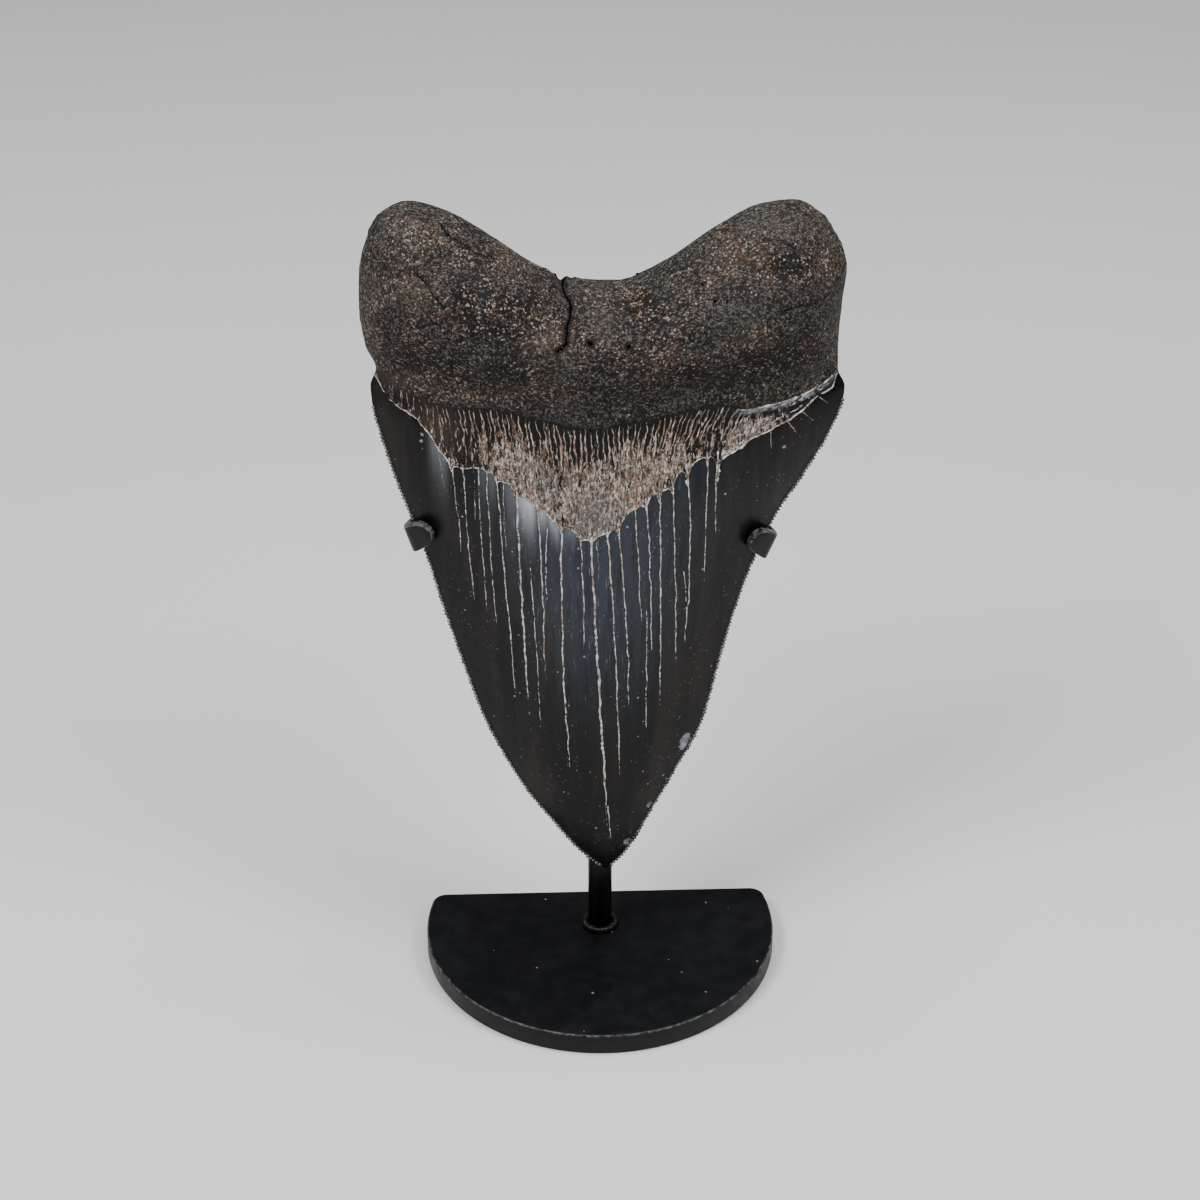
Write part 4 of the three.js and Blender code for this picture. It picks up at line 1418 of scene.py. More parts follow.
@dataclass
class Tooth:
    """The fossil tooth: one closed skin, its serrations, and the mineral ribs that fill its cracks.

    A scratch has its place across, its heading in degrees and its length. A bank line has its height over the
    enamel's edge, its seed, and where it starts and ends. The tree holds the finished skin's faces.
    """

    materials: Materials
    form: ToothForm
    surface: ToothSurface = field(default_factory=ToothSurface)
    tree: BVHTree | None = None
    rows: int = 292
    rim_rows: int = 36
    rim_height: float = 8.5
    columns: int = 250
    back_columns: int = 50
    grain_depth: float = 0.42
    grain_per_m: float = 780.0
    serration_pitch: float = 0.8
    serration_size: tuple[float, float, float] = (0.52, 0.52, 0.38)
    serration_sink: float = 0.1
    serration_span: tuple[float, float] = (1.2, 104.0)
    crust_grains: int = 480
    ridge_span: tuple[float, float] = (-44.0, 31.5)
    ridge_lean: tuple = ((-43, 0.04), (-35, 0.1), (-25, 0.16), (-15, 0.12), (2, 0.02), (12, -0.2),
                         (20, -0.42), (30, -0.5))
    ridge_reach: tuple = ((-44, 2), (-36, 5), (-29, 9), (-20, 14), (-8, 18), (0, 16), (8, 14), (16, 11),
                          (27, 8), (32, 2))
    scratches: tuple = ((33.6, -86, 3.2), (37.2, -52, 4.6), (40.3, -43, 3.2), (43.8, -41, 2.3))
    bank_lines: tuple = ((1.0, 17.0, 25, 46), (2.3, 19.0, 24, 44))

    def build(self) -> list[bpy.types.Object]:
        """Builds and dresses every piece of the tooth.

        Returns:
            The pieces, the skin first.
        """
        skin = self._skin()
        self.tree = BVHTree.FromObject(skin, bpy.context.evaluated_depsgraph_get())
        pieces = [skin, self._serrations(), self._crack_ribs(), self._ridges(), self._crust(),
                  self._root_gaps()]
        return [handed_over(p, Part.TOOTH) for p in pieces]

    def _levels(self) -> np.ndarray:
        """The rows' levels: even up the crown, crowding towards the root's rim.

        Returns:
            One level for each row, in mm.
        """
        top, near = self.form.shoulder_level, self.rim_height
        crowded = top - near * (1 - np.arange(1, self.rim_rows + 1) / self.rim_rows) ** 2
        return np.concatenate([np.linspace(0.5, top - near, self.rows), crowded])

    @staticmethod
    def _sides(columns: int) -> np.ndarray:
        """The columns' places from -1 to 1, crowding towards both edges.

        Args:
            columns: how many columns the sheet has.

        Returns:
            One more place than there are columns.
        """
        even = np.linspace(-1, 1, columns + 1)
        size = np.abs(even)
        bent = np.where(size < 0.88, size * 1.0640, 1 - 4.4333 * (1 - size) ** 2)
        return np.sign(even) * bent

    def _sheet(self, columns: int) -> tuple[np.ndarray, np.ndarray]:
        """Side and level of every point of a sheet, row by row."""
        sides, levels = self._sides(columns), self._levels()
        return np.tile(sides, len(levels)), np.repeat(levels, len(sides))

    def _skin(self) -> bpy.types.Object:
        """The tooth's skin with its relief and the values that its finish reads.

        Returns:
            The skin, one closed mesh.
        """
        side, level = self._sheet(self.columns)
        across, up = self.form.outline(side, level)
        flat = np.column_stack([across, up])
        front, _ = self.form.depths(side, level)
        told = self.surface.relief(flat, side)
        rim = (np.abs(side) > 0.99999) | (level >= self.form.shoulder_level - 1e-6)
        out = np.where(rim, 0.0, np.maximum(front - told.pop("cut"), -0.2))
        back_side, back_level = self._sheet(self.back_columns)
        back_across, back_up = self.form.outline(back_side, back_level)
        _, behind = self.form.depths(back_side, back_level)
        inner = (np.abs(back_side) < 0.99999) & (back_level < self.form.shoulder_level - 1e-6)
        back_flat = np.column_stack([back_across, back_up])[inner]
        back_told = self._back_values(back_flat, behind[inner])
        points = np.vstack([
            self.form.in_frame(np.zeros(1), np.zeros(1), np.zeros(1)),
            self.form.in_frame(across, up, out),
            self.form.in_frame(back_flat[:, 0], back_flat[:, 1], -back_told.pop("depth")),
        ])
        low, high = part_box(Part.TOOTH.value)
        points = np.clip(points, np.array(low) + 2 * HAIR, np.array(high) - 2 * HAIR)
        ob = mesh_object("tooth_skin", points, self._faces(inner))
        whole_flat = np.vstack([[[0.0, 0.0]], flat, back_flat])
        outs = np.concatenate([[0.0], out, -behind[inner]])
        give_values(ob, "tooth_axes", np.column_stack([whole_flat, outs]) * MM)
        for name, values in told.items():
            first = [BELOW_ALL] if name.endswith("_mm") else [0.0]
            give_values(ob, name, np.concatenate([first, values, back_told[name]]))
        return grain_recipe().run(ob, "tooth_skin", Depth=self.grain_depth * MM, Scale=self.grain_per_m,
                                  Seed=3.0, Material=self.materials.fossil)

    def _back_values(self, flat: np.ndarray, behind: np.ndarray) -> dict[str, np.ndarray]:
        """The flatter back's relief and finish values: its enamel ends in one low arch under the root.

        Args:
            flat: across and up of each point.
            behind: how far the smooth back stands from the plane of the cutting edges.

        Returns:
            The depth with its relief, and the values that the finish reads, by name.
        """
        x, y = flat[:, 0], flat[:, 1]
        edge = 108.5 - 7.5 * np.exp(-((x / 26) ** 2))
        above = y - edge - 0.5 * noise_at(flat, 4.0, 61.0, 3)
        root = smoothstep(above, -0.3, 3.0)
        lumps = 0.4 * noise_at(flat, 15.0, 71.0, 2) + 0.18 * noise_at(flat, 4.5, 77.0, 3)
        thin = np.clip(behind / 3.0, 0, 1)
        step = 0.3 * smoothstep(above, -0.3, 0.5) * thin
        zero = np.zeros(len(flat))
        return {
            "depth": np.maximum(behind - step - root * thin * (0.3 - lumps), 0.0),
            "enamel_mm": above,
            "neck_mm": above - 0.6,
            # Painted shade under the root, and an even share of painted light
            "hollow": 0.5 * self.surface.spots(flat, self.surface.back_shade_spots),
            "light": zero + 0.3,
            "warm": 0.6 * self.surface.spots(flat, self.surface.back_rusty),
            "grey": zero,
            "crust": zero + 0.7,
            "pale": zero,
            "core": 0.5 * self.surface.core_share(flat),
            "groove": zero,
            "grain": root,
        }

    def _faces(self, inner: np.ndarray) -> list[tuple[int, ...]]:
        """The skin's faces: tip, front sheet, and a coarser back sheet that shares the front's edge.

        Args:
            inner: which points of the back's sheet are its own, not the front's.

        Returns:
            Point numbers, each face turning left as seen from outside.
        """
        levels, n, m = len(self._levels()), self.columns + 1, self.back_columns + 1
        ratio = self.columns // self.back_columns
        number = np.full(levels * m, -1)
        number[inner] = 1 + levels * n + np.arange(int(inner.sum()))
        back = number.reshape(levels, m)
        front = 1 + np.arange(levels * n).reshape(levels, n)
        back[:, 0], back[:, -1] = front[:, 0], front[:, -1]
        back[-1, :] = front[-1, ::ratio]
        faces = [(0, front[0, c + 1], front[0, c]) for c in range(n - 1)]
        faces += [(0, back[0, c], back[0, c + 1]) for c in range(m - 1)]
        for low, high in zip(front[:-1], front[1:]):
            faces += [(low[c], low[c + 1], high[c + 1], high[c]) for c in range(n - 1)]
        for low, high in zip(back[:-2], back[1:-1]):
            faces += [(low[c], high[c], high[c + 1], low[c + 1]) for c in range(m - 1)]
        last = back[-2]
        for c in range(m - 1):
            rim = [front[-1, c * ratio + k] for k in range(ratio + 1)]
            faces.append((last[c], *rim, last[c + 1]))
        return [tuple(int(i) for i in f) for f in faces]

    def _on_face(self, path: np.ndarray, sink: float) -> np.ndarray:
        """Drops a path of across and up onto the domed face.

        Args:
            path: N by 2, in mm.
            sink: how far below the surface the points lie, in mm.

        Returns:
            N by 3 points in metres, without those that miss.
        """
        _, _, out = self.form.directions()
        start = self.form.in_frame(path[:, 0], path[:, 1], np.full(len(path), FAR_OUT))
        found = []
        for p in start:
            hit, normal, _, _ = self.tree.ray_cast(Vector(p), -out)
            if hit is not None:
                found.append(hit - normal * sink * MM)
        return np.array(found)

    def _ribs(self, name: str, paths: Sequence[RibPath], material: bpy.types.Material,
              **values: object) -> bpy.types.Object:
        """Thin beaded ribs along paths.

        Args:
            name: the piece's name.
            paths: points in metres and the rib's width at each, in mm.
            material: the ribs' finish.
            values: the rib recipe's other inputs.

        Returns:
            The ribs, one mesh.
        """
        edges, start = [], 0
        for points, _ in paths:
            edges += [(start + i, start + i + 1) for i in range(len(points) - 1)]
            start += len(points)
        ob = mesh_object(name, np.vstack([p for p, _ in paths]), [], edges)
        give_values(ob, "width", np.concatenate([w for _, w in paths]) * MM)
        return rib_recipe().run(ob, name, Material=material, **values)

    def _crack_ribs(self) -> bpy.types.Object:
        """The pale ribs that fill the enamel's cracks and edge its upper boundary.

        Returns:
            The ribs, one mesh.
        """
        paths = []
        for i, crack in enumerate(self.surface.cracks):
            line = crack.path(0.26)
            line[:, 0] += 0.2 * noise_at(line, 4.0, 3.1 * i, 3)
            on = self._on_face(line, 0.06)
            t = np.linspace(0, 1, len(on))
            down = np.linalg.norm(line[: len(on)] - line[0], axis=1)
            fade = (1 + 0.2 * crack.dip * np.exp(-down / 1.6)) * np.clip((1 - t) * 5.0, 0.3, 1)
            paths.append((on, 0.8 * crack.width * fade))
        paths += self._edge_lines()
        for start, turn, length in self.scratches:
            top = np.array([start, float(self.surface.enamel_at(np.array([start]))[0]) - 0.5])
            heading = np.array([math.cos(math.radians(turn)), math.sin(math.radians(turn))])
            on = self._on_face(resampled([top, top + length * heading], 0.3), 0.0)
            paths.append((on, np.linspace(0.13, 0.06, len(on))))
        return self._ribs("crack_ribs", paths, self.materials.crack, Beading=1.3, Bead=1800.0, Wander=0.0005,
                          Seed=4.0)

    def _edge_lines(self) -> list[RibPath]:
        """Pale lines along the enamel's edge, on the bank of crust to its right, and under the root there.

        Returns:
            Points and widths of each line.
        """
        x = np.linspace(-46.2, 48.6, 1900)
        rim = resampled(np.column_stack([x, self.surface.enamel_at(x) - 0.1]), 0.3)
        rim[:, 1] += 0.22 * noise_at(rim, 2.0, 5.0, 3)
        rim[:, 0] += 0.12 * noise_at(rim, 1.4, 15.0, 2)
        on = self._on_face(rim, 0.1)
        swell = 0.3 + 0.15 * noise_at(rim[: len(on)], 3.0, 8.0, 3)
        bright = 1 + 0.35 * smoothstep(rim[: len(on), 0], 20, 26)
        paths = [(on, np.clip(swell * bright, 0.15, 0.7))]
        for drop, seed, first, last in self.bank_lines:
            part = rim[(rim[:, 0] > first) & (rim[:, 0] < last)].copy()
            part[:, 1] = self.surface.smooth_enamel(part[:, 0]) + drop + 0.5 * noise_at(part, 2.6, seed, 3)
            on = self._on_face(part, 0.08)
            width = 0.24 + 0.3 * noise_at(part[: len(on)], 2.0, seed, 3)
            paths.append((on, np.clip(width, 0.06, 0.55)))
        x = np.linspace(23, 46.5, 60)
        neck = resampled(np.column_stack([x, self.surface.neck_at(x) - 0.5]), 0.4)
        on = self._on_face(neck, 0.08)
        swell = 0.5 + 0.4 * noise_at(neck[: len(on)], 2.4, 27.0, 3)
        paths.append((on, np.clip(swell * smoothstep(neck[: len(on), 0], 23, 31), 0.05, 0.9)))
        return paths

    def _lean(self, x: float) -> float:
        """How far the bourlette's ridges go sideways for each unit down."""
        return float(np.interp(x, *zip(*self.ridge_lean)))

    def _ridges(self) -> bpy.types.Object:
        """The bourlette's fine ridges, which run from the root's edge towards the tooth's point.

        Returns:
            The ridges, one mesh.
        """
        paths = []
        chance = np.random.default_rng(11)
        x, last = self.ridge_span
        while x < last:
            x += 0.85 + 0.6 * chance.random()
            lean = self._lean(x)
            reach = float(np.interp(x, *zip(*self.ridge_reach))) * (0.6 + 0.7 * chance.random())
            top = float(self.surface.neck_at(np.array([x]))[0]) - 0.2 - 0.5 * chance.random()
            low = float(self.surface.smooth_enamel(np.array([x + lean * reach]))[0]) + 0.8
            reach = min(reach, top - low)
            if reach < 1:
                continue
            middle, foot = (x + lean * reach * 0.5 + 0.1, top - reach * 0.5), (x + lean * reach, top - reach)
            line = resampled([(x, top), middle, foot], 0.35)
            line[:, 0] += 0.36 * noise_at(line, 2.6, x, 3)
            on = self._on_face(line, 0.05)
            t = np.linspace(0, 1, len(on))
            width = (0.2 + 0.2 * chance.random()) * (0.62 if x < -29 else 1.0)
            paths.append((on, width * np.clip(np.minimum(0.5 + t * 4, (1.08 - t) * 1.9), 0.2, 1)))
        return self._ribs("bourlette_ridges", paths, self.materials.ridge, Beading=1.0, Bead=1500.0,
                          Wander=0.0006, Seed=9.0)

    def _crust(self) -> bpy.types.Object:
        """Short broken grains of crust between and below the ridges.

        Returns:
            The grains, one mesh.
        """
        paths = []
        chance = np.random.default_rng(23)
        while len(paths) < self.crust_grains:
            x = chance.uniform(-34, 42)
            low = float(self.surface.enamel_at(np.array([x]))[0])
            high = float(self.surface.neck_at(np.array([x]))[0])
            y = low + 0.3 + (high - low) * chance.random() ** 1.4 * 0.8
            share = float(self.surface.crust_share(np.array([[x, y]]))[0])
            if chance.random() > share + 0.05:
                continue
            length = min(0.5 + 1.8 * chance.random() ** 2, y - low)
            turn = self._lean(x) + chance.normal(0, 0.3)
            line = resampled([(x, y), (x + turn * length * 0.5, y - length)], 0.35)
            line[:, 0] += 0.25 * noise_at(line, 1.2, x, 2)
            on = self._on_face(line, 0.04)
            if len(on) > 1:
                t = np.linspace(0, 1, len(on))
                paths.append((on, (0.17 + 0.18 * chance.random()) * (1 - 0.6 * np.abs(2 * t - 1) ** 2)))
        return self._ribs("crust_grains", paths, self.materials.ridge, Beading=0.8, Bead=1500.0,
                          Wander=0.0003, Seed=14.0)

    def _root_gaps(self) -> bpy.types.Object:
        """Dark ribs along the root's cracks and pits, which stand for the shadow in them: painted shadow.

        Returns:
            The floors, one mesh.
        """
        paths = []
        for i, (path, depth, width) in enumerate(self.surface.root_cracks):
            sway, swell, share = (0.16, 0.7, 0.95) if depth > 1 else (0.34, 1.2, 0.62)
            line = resampled(path, 0.25)
            turns = [noise_at(line, 1.5, seed + i, 3) for seed in (7.0, 57.0)]
            line += sway * np.column_stack(turns)
            on = self._on_face(line, 0.02)
            t = np.linspace(0, 1, len(on))
            ends = np.clip(np.minimum(t * 8 + 0.35, (1 - t) * 4 + 0.1), 0, 1)
            body = 1 + swell * noise_at(line[: len(on)], 2.2, 80.0 + i, 2)
            paths.append((on, np.clip(width * share * body * ends, 0.04, 1.0)))
        for x, y, wide, _ in self.surface.pits:
            on = self._on_face(resampled([(x - 0.5 * wide, y), (x + 0.5 * wide, y + 0.1)], 0.2), -0.05)
            paths.append((on, np.full(len(on), wide)))
        return self._ribs("root_gaps", paths, self.materials.gap, Beading=0.9, Bead=1600.0, Wander=0.0003,
                          Seed=2.0, Sides=6)

    def _serrations(self) -> bpy.types.Object:
        """The cusps along both cutting edges.

        Returns:
            The cusps, one mesh.
        """
        level = np.arange(*self.serration_span, 0.35)
        lines = []
        for sign, width in ((-1, self.form.left_side_at), (1, self.form.right_side_at)):
            across = sign * (width(level) - self.serration_sink)
            lines.append(self.form.in_frame(across, level, np.zeros(len(level))))
        count = len(level)
        edges = [(first + i, first + i + 1) for first in (0, count) for i in range(count - 1)]
        mesh = mesh_object("serrations", np.vstack(lines), [], edges)
        size = tuple(s * MM for s in self.serration_size)
        made = serration_recipe().run(mesh, "serrations", Pitch=self.serration_pitch * MM, Size=size,
                                      Variation=0.18, Seed=7, Material=self.materials.serration)
        made.data.shade_smooth()
        reach = np.array([v.co for v in made.data.vertices]) / MM - np.array(self.form.tip)
        s, c = math.sin(self.form.lean), math.cos(self.form.lean)
        up = reach[:, 1] * s + reach[:, 2] * c
        edge = np.where(reach[:, 0] > 0, self.form.right_side_at(up), self.form.left_side_at(up))
        give_values(made, "tip", smoothstep(np.abs(reach[:, 0]) - edge, -0.4, 0.15))
        kept_inside(made, Part.TOOTH)
        return made


# The stand


@dataclass
class BasePlate:
    """The half-round steel plate, with a fine rounded edge."""

    materials: Materials
    radius: float = 38.1
    thickness: float = 4.8
    back: float = 11.8
    corner: float = 3.2
    round_edge: float = 0.4
    steps: int = 4
    arc_steps: int = 220
    corner_steps: int = 16
    back_steps: int = 24

    def outline(self, inset: float) -> np.ndarray:
        """The plate's outline, drawn in by a distance, turning left.

        Args:
            inset: the distance, in mm.

        Returns:
            N by 2 points, in mm.
        """
        radius, corner, back = self.radius - inset, self.corner - inset, self.back - inset
        cy = self.back - self.corner
        cx = math.sqrt((self.radius - self.corner) ** 2 - cy * cy)
        side = math.atan2(cy, cx)
        sweep = np.linspace(-math.pi - side, side, self.arc_steps)
        first = np.linspace(side, math.pi / 2, self.corner_steps)[1:]
        second = np.linspace(math.pi / 2, math.pi - side, self.corner_steps)[:-1]
        ring = [(radius * math.cos(a), radius * math.sin(a)) for a in sweep]
        ring += [(cx + corner * math.cos(a), cy + corner * math.sin(a)) for a in first]
        straight = np.linspace(cx, -cx, self.back_steps)[1:-1]
        ring += [(x, back) for x in straight]
        ring += [(-cx + corner * math.cos(a), cy + corner * math.sin(a)) for a in second]
        return np.array(ring)

    def build(self) -> bpy.types.Object:
        """Builds and dresses the plate.

        Returns:
            The plate.
        """
        r, t = self.round_edge, self.thickness
        rings, worn = [], []
        bend = [(r * (1 - math.sin(a)), r * (1 - math.cos(a)))
                for a in np.linspace(0, math.pi / 2, self.steps + 1)]
        heights = [(r * 8, 0.0), *bend, (0.0, t / 2)]
        heights += [(inset, t - z) for inset, z in reversed(bend)]
        heights += [(r * 3, t), (r * 8, t)]
        for inset, z in heights:
            flat = self.outline(min(inset, self.corner - 0.05))
            rings.append(np.column_stack([flat, np.full(len(flat), z)]) * MM)
            # The rounded edges get the paint's edge colour: wear and a painted highlight
            close = 1.0 if 0.1 < z < t and 0.02 < inset < r else 0.0
            worn.append(np.full(len(flat), close))
        ob = loft("plate", rings)
        give_values(ob, "edge", np.concatenate(worn))
        ob.data.materials.append(self.materials.plate)
        return handed_over(ob, Part.PLATE)


@dataclass
class Rod:
    """The round bar between plate and strap, with a rippled weld at its foot."""

    materials: Materials
    form: ToothForm
    radius: float = 2.6
    foot: float = 4.85
    bend_start: float = 17.1
    bend: float = 4.0
    strap_apex: Point2 = (-1.0, 101.5)
    strap_width: float = 5.6
    behind: float = 11.1
    sides: int = 48
    weld_points: int = 64
    weld_reach: float = 0.55
    weld_height: float = 5.35
    weld_pitch: float = 0.48
    weld_size: tuple[float, float, float] = (0.92, 0.92, 0.62)

    def _ring(self, centre: np.ndarray, tangent: np.ndarray, radius: float) -> np.ndarray:
        """A circle round the bar's axis.

        Args:
            centre: a point of the axis, in mm.
            tangent: the axis's direction there.
            radius: the circle's radius, in mm.

        Returns:
            N by 3 points, in metres.
        """
        angle = np.linspace(0, 2 * math.pi, self.sides, endpoint=False)
        x = centre[0] + radius * np.cos(angle)
        y = centre[1] + radius * np.sin(angle) * tangent[2]
        z = centre[2] - radius * np.sin(angle) * tangent[1]
        return np.column_stack([x, y, z]) * MM

    def build(self) -> list[bpy.types.Object]:
        """Builds and dresses the bar and its weld.

        Returns:
            The bar and its weld.
        """
        top = self.form.in_frame(
            np.array([-self.form.tip[0]]), np.array([self.strap_apex[1] + self.strap_width / 2]),
            np.array([-self.behind]),
        )[0] / MM
        corner = np.array([0, 0, self.bend_start + self.bend])
        along = (top - corner) / np.linalg.norm(top - corner)
        upright = np.array([0.0, 0.0, 1.0])
        start, end = np.array([0, 0, self.bend_start]), corner + along * self.bend
        rings = [self._ring(np.array([0, 0, self.foot]), upright, self.radius)]
        for t in np.linspace(0, 1, 15):
            centre = start * (1 - t) ** 2 + corner * 2 * t * (1 - t) + end * t * t
            tangent = (corner - start) * (1 - t) + (end - corner) * t
            rings.append(self._ring(centre, tangent / np.linalg.norm(tangent), self.radius))
        for share in np.linspace(0.1, 1, 12)[:-1]:
            rings.append(self._ring(end + (top - end) * share, along, self.radius))
        worn = [np.zeros(self.sides) for _ in rings]
        for inset, drop, edge_brightening in ((0.0, 0.35, 1.0), (0.12, 0.1, 1.0), (0.35, 0.0, 0.6)):
            rings.append(self._ring(top - along * drop, along, self.radius - inset))
            worn.append(np.full(self.sides, edge_brightening))
        bar = loft("rod", rings)
        give_values(bar, "edge", np.concatenate(worn))
        bar.data.materials.append(self.materials.rod)
        weld = self._weld()
        return [handed_over(p, Part.ROD) for p in (bar, weld)]

    def _weld(self) -> bpy.types.Object:
        """The ring of weld metal round the bar's foot.

        Returns:
            The weld.
        """
        n = self.weld_points
        angle = np.linspace(0, 2 * math.pi, n, endpoint=False)
        reach = self.radius + self.weld_reach
        heights = np.full(n, self.weld_height)
        points = np.column_stack([reach * np.cos(angle), reach * np.sin(angle), heights]) * MM
        path = mesh_object("foot_weld", points, [], [(i, (i + 1) % n) for i in range(n)])
        size = tuple(s * MM for s in self.weld_size)
        made = weld_recipe().run(path, "foot_weld", Pitch=self.weld_pitch * MM, Size=size, Seed=2,
                                 Material=self.materials.rod)
        low = self.foot * MM
        for v in made.data.vertices:
            v.co.z = max(v.co.z, low - 2 * HAIR)
        give_values(made, "edge", np.full(len(made.data.vertices), 0.15))
        return made


@dataclass
class Strap:
    """The flat bar behind the tooth, bent like a shallow roof, whose hooks hold the cutting edges."""

    materials: Materials
    form: ToothForm
    width: float = 5.6
    thickness: float = 1.8
    apex: Point2 = (-1.0, 101.5)
    depth: float = 7.1
    edge_right: Point2 = (32.9, 74.2)
    edge_left: Point2 = (-38.1, 77.0)
    edge_reach: float = 3.0
    hook_radius: float = 1.8
    hook_inset: float = 0.25
    back_slope: float = math.radians(15)
    front_slope: float = math.radians(34)
    tab: float = 4.8
    hook_steps: int = 26
    tab_steps: int = 16
    round_edge: float = 0.32
    weld_points: int = 8
    weld_run: tuple[float, float] = (-3.9125, -0.3125)
    weld_aside: float = 1.75
    weld_behind: float = 1.35
    weld_pitch: float = 0.8
    weld_size: tuple[float, float, float] = (0.9, 0.9, 0.8)

    def _line(self, reach: float) -> list[Point2]:
        """The bar's middle line from the apex to the end of the hook's bend.

        Args:
            reach: from the apex to the tooth's edge, in mm.

        Returns:
            Pairs of distance along the arm and depth.
        """
        start, end = self.back_slope - math.pi / 2, math.pi / 2 - self.front_slope
        bend = [(reach - self.hook_inset + self.hook_radius * math.cos(a), self.hook_radius * math.sin(a))
                for a in np.linspace(start, end, self.hook_steps + 1)]
        ramp = (self.depth + bend[0][1]) / math.tan(self.back_slope)
        knee = bend[0][0] - ramp
        soft = [(knee - 1.2, -self.depth), (knee - 0.4, -self.depth + 0.03), (knee + 0.4, -self.depth + 0.15),
                (knee + 1.2, -self.depth + 1.2 * math.tan(self.back_slope))]
        return [(0.0, -self.depth), (1.5, -self.depth), *soft, *bend]

    def _section(self, narrow: float) -> list[Point2]:
        """The bar's section: places across it and through its thickness, in mm.

        Args:
            narrow: half the width at this section, in mm.

        Returns:
            Points that turn from the outer lower corner to the outer upper, inner upper and inner lower one.
        """
        r, half = min(self.round_edge, narrow * 0.8), self.thickness / 2
        points = []
        for sx, sy, turn in ((-1, -1, math.pi), (1, -1, math.pi * 1.5), (1, 1, 0.0), (-1, 1, math.pi / 2)):
            for a in np.linspace(0, math.pi / 2, 4):
                x = sx * (narrow - r) + r * math.cos(turn + a)
                y = sy * (half - r) + r * math.sin(turn + a)
                points.append((x, y))
        return points

    def _arm(self, crossing: Point2, outline: Curve) -> tuple[list[np.ndarray], list[np.ndarray]]:
        """One arm's sections in the tooth's own millimetres, from the apex to the end of its tab.

        Args:
            crossing: where the arm's middle crosses the tooth's edge.
            outline: that edge's place across the tooth, by level.

        Returns:
            The sections' points, and how much each point's edge is brightened, for wear and a painted
            highlight.
        """
        along = np.array(crossing) - np.array(self.apex)
        reach = float(np.linalg.norm(along))
        along = along / reach
        hand = math.copysign(1, along[0])
        across = np.array([-along[1], along[0]]) * hand
        level = np.array([crossing[1] - self.edge_reach, crossing[1] + self.edge_reach])
        low, high = outline(level)
        edge = np.array([high - low, 2 * self.edge_reach])
        slant = (edge @ along) / (edge @ across)
        line = self._line(reach)
        rings, worn = [], []

        def ring(point: Point2, normal: Point2, half: float, skew: float) -> None:
            """Adds one section.

            Args:
                point: the section's middle, as distance along the arm and depth.
                normal: the way through the bar's thickness.
                half: half the bar's width there, in mm.
                skew: how far it slants along the arm for each mm across.
            """
            made = []
            section = self._section(half)
            for x, y in section:
                distance = point[0] + normal[0] * y + skew * x
                seat = np.array(self.apex) + along * distance + across * x
                made.append((seat[0], seat[1], point[1] + normal[1] * y))
            rings.append(np.array(made))
            # The side edges and the tab's round end get the edge colour: a painted highlight and wear
            worn.append(np.array([abs(p[0]) / max(half, 0.1) > 0.93 for p in section], float))

        half = self.width / 2
        for i, point in enumerate(line):
            before, after = line[max(i - 1, 0)], line[min(i + 1, len(line) - 1)]
            run = math.hypot(after[0] - before[0], after[1] - before[1])
            normal = ((before[1] - after[1]) / run, (after[0] - before[0]) / run)
            skew = along[1] * hand / abs(along[0]) if i == 0 else slant
            ring(point, normal, half, skew * hand if i == 0 else slant)
        last = line[-1]
        away = (-math.cos(self.front_slope), math.sin(self.front_slope))
        normal = (-away[1], away[0])
        for angle in np.linspace(0, math.radians(86), self.tab_steps + 1):
            distance = self.tab - half * (1 - math.sin(angle))
            narrow = half * math.cos(angle)
            ring((last[0] + away[0] * distance, last[1] + away[1] * distance), normal, max(narrow, 0.35), 0.0)
        return rings, worn

    def build(self) -> list[bpy.types.Object]:
        """Builds and dresses the strap and the welds that join it to the rod.

        Returns:
            The bar and its welds.
        """
        right, right_worn = self._arm(self.edge_right, self.form.right_side_at)
        left, left_worn = self._arm(self.edge_left, lambda level: -self.form.left_side_at(level))
        rings = [*left[1:][::-1], *right]
        worn = [*left_worn[1:][::-1], *right_worn]
        placed = [self.form.in_frame(r[:, 0], r[:, 1], r[:, 2]) for r in rings]
        bar = loft("strap_bar", placed)
        give_values(bar, "edge", np.concatenate(worn))
        bar.data.materials.append(self.materials.strap)
        kept_inside(bar, Part.STRAP)
        weld = self._welds()
        return [handed_over(p, Part.STRAP) for p in (bar, weld)]

    def _welds(self) -> bpy.types.Object:
        """A run of weld metal down each side of the rod, where it meets the strap.

        Returns:
            The welds, one mesh.
        """
        n = self.weld_points
        up = self.apex[1] + np.linspace(*self.weld_run, n)
        out = np.full(n, -self.depth - self.weld_behind)
        lines = [self.form.in_frame(np.full(n, side - self.form.tip[0]), up, out)
                 for side in (-self.weld_aside, self.weld_aside)]
        edges = [(first + i, first + i + 1) for first in (0, n) for i in range(n - 1)]
        path = mesh_object("strap_welds", np.vstack(lines), [], edges)
        size = tuple(s * MM for s in self.weld_size)
        made = weld_recipe().run(path, "strap_welds", Pitch=self.weld_pitch * MM, Size=size, Seed=5,
                                 Material=self.materials.strap)
        give_values(made, "edge", np.full(len(made.data.vertices), 0.35))
        return made


# The studio


@dataclass(frozen=True)
class SoftLight:
    """An area light: its place, sides and aim in metres, and its power in watts."""

    name: str
    seat: tuple[float, float, float]
    sides: Point2
    watts: float
    aim: tuple[float, float, float]

    def build(self) -> None:
        """Makes the light and turns it to what it lights."""
        data = bpy.data.lights.new(self.name, "AREA")
        data.shape, data.energy = "RECTANGLE", self.watts
        data.size, data.size_y = self.sides
        ob = bpy.data.objects.new(self.name, data)
        ob.location = self.seat
        ob.rotation_euler = (Vector(self.aim) - Vector(self.seat)).to_track_quat("-Z", "Y").to_euler()
        bpy.context.scene.collection.objects.link(ob)


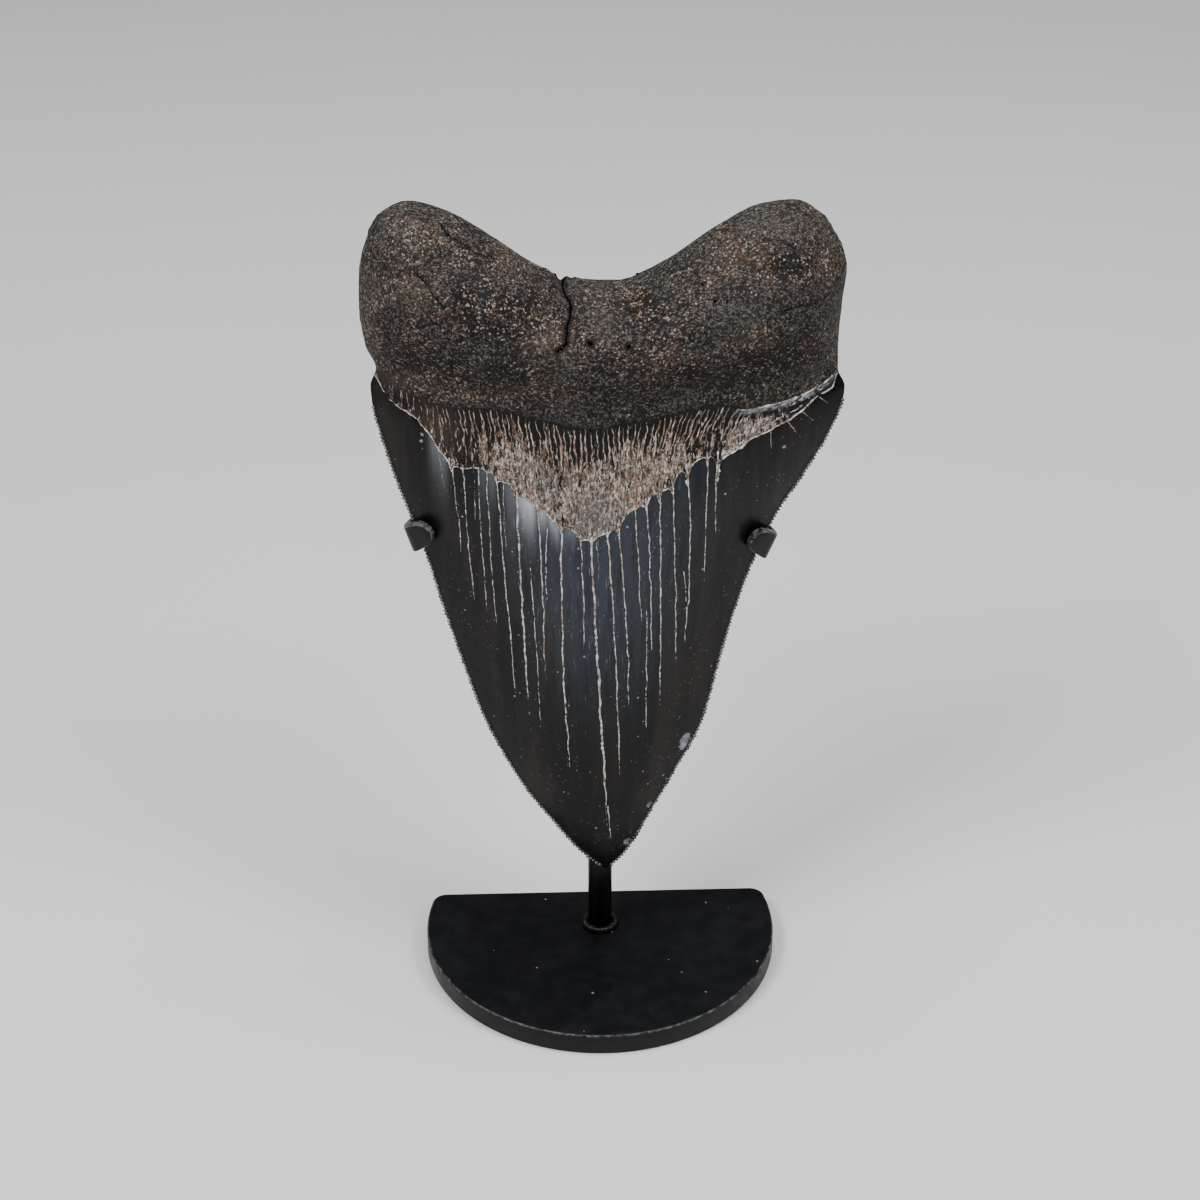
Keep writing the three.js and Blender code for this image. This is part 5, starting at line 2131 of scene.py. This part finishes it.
@dataclass
class Studio:
    """A plain pale floor, soft light, and a camera at the photograph's angle, sized in metres."""

    eye: tuple[float, float, float] = (-0.01766, -0.50578, 0.40306)
    pitch: float = math.radians(31.84)
    azimuth: float = math.radians(2)
    lens: float = 87.0
    floor_reach: float = 3.0
    floor: tuple = rgb(0.60, 0.60, 0.60)
    floor_cloud: tuple = rgb(0.64, 0.64, 0.64)
    sky: tuple = (0.75, 0.77, 0.80, 1)
    sky_strength: float = 0.17
    lights: tuple[SoftLight, ...] = (
        SoftLight("left_light", (-0.55, -0.38, 0.85), (0.45, 0.3), 10.5, (0.0, 0.0, 0.12)),
        SoftLight("right_light", (0.6, -0.3, 0.8), (0.45, 0.3), 7.0, (0.0, 0.0, 0.12)),
        SoftLight("top_light", (0.05, 0.12, 1.0), (0.5, 0.35), 7.0, (0.0, 0.0, 0.13)))

    def build(self) -> None:
        """Sets up floor, light and camera."""
        self._floor()
        self._world()
        for light in self.lights:
            light.build()
        data = bpy.data.cameras.new("camera")
        data.lens, data.sensor_width, data.clip_start = self.lens, 36.0, 0.01
        camera = bpy.data.objects.new("camera", data)
        camera.location = self.eye
        camera.rotation_euler = (math.pi / 2 - self.pitch, 0.0, -self.azimuth)
        bpy.context.scene.collection.objects.link(camera)
        bpy.context.scene.camera = camera

    def _floor(self) -> None:
        """A large pale sheet, faintly uneven in tone."""
        r = self.floor_reach
        points = [(-r, -r, -HAIR), (r, -r, -HAIR), (r, r, -HAIR), (-r, r, -HAIR)]
        ob = mesh_object("floor", np.array(points), [(0, 1, 2, 3)])
        material, t, shader = new_material("pale_floor", self.floor)
        seat = t.add("ShaderNodeTexCoord").outputs["Object"]
        tone = t.blend(t.noise(seat, 7.0, 3.0), self.floor, self.floor_cloud)
        t.feed(shader, "Base Color", tone)
        shader.inputs["Roughness"].default_value = 0.7
        ob.data.materials.append(material)

    def _world(self) -> None:
        """An even, pale surrounding."""
        world = bpy.data.worlds.new("studio")
        world.use_nodes = True
        shade = world.node_tree.nodes["Background"].inputs
        shade["Color"].default_value = self.sky
        shade["Strength"].default_value = self.sky_strength
        bpy.context.scene.world = world


def main() -> None:
    """Builds the tooth, the stand and the studio in order."""
    logging.basicConfig(level=logging.INFO, format="%(name)s %(message)s")
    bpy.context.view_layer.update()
    materials = Materials()
    form = ToothForm()
    made = Tooth(materials, form).build()
    made.append(BasePlate(materials).build())
    made += Rod(materials, form).build()
    made += Strap(materials, form).build()
    Studio().build()
    LOG.info("%d pieces", len(made))


if __name__ == "__main__":
    main()
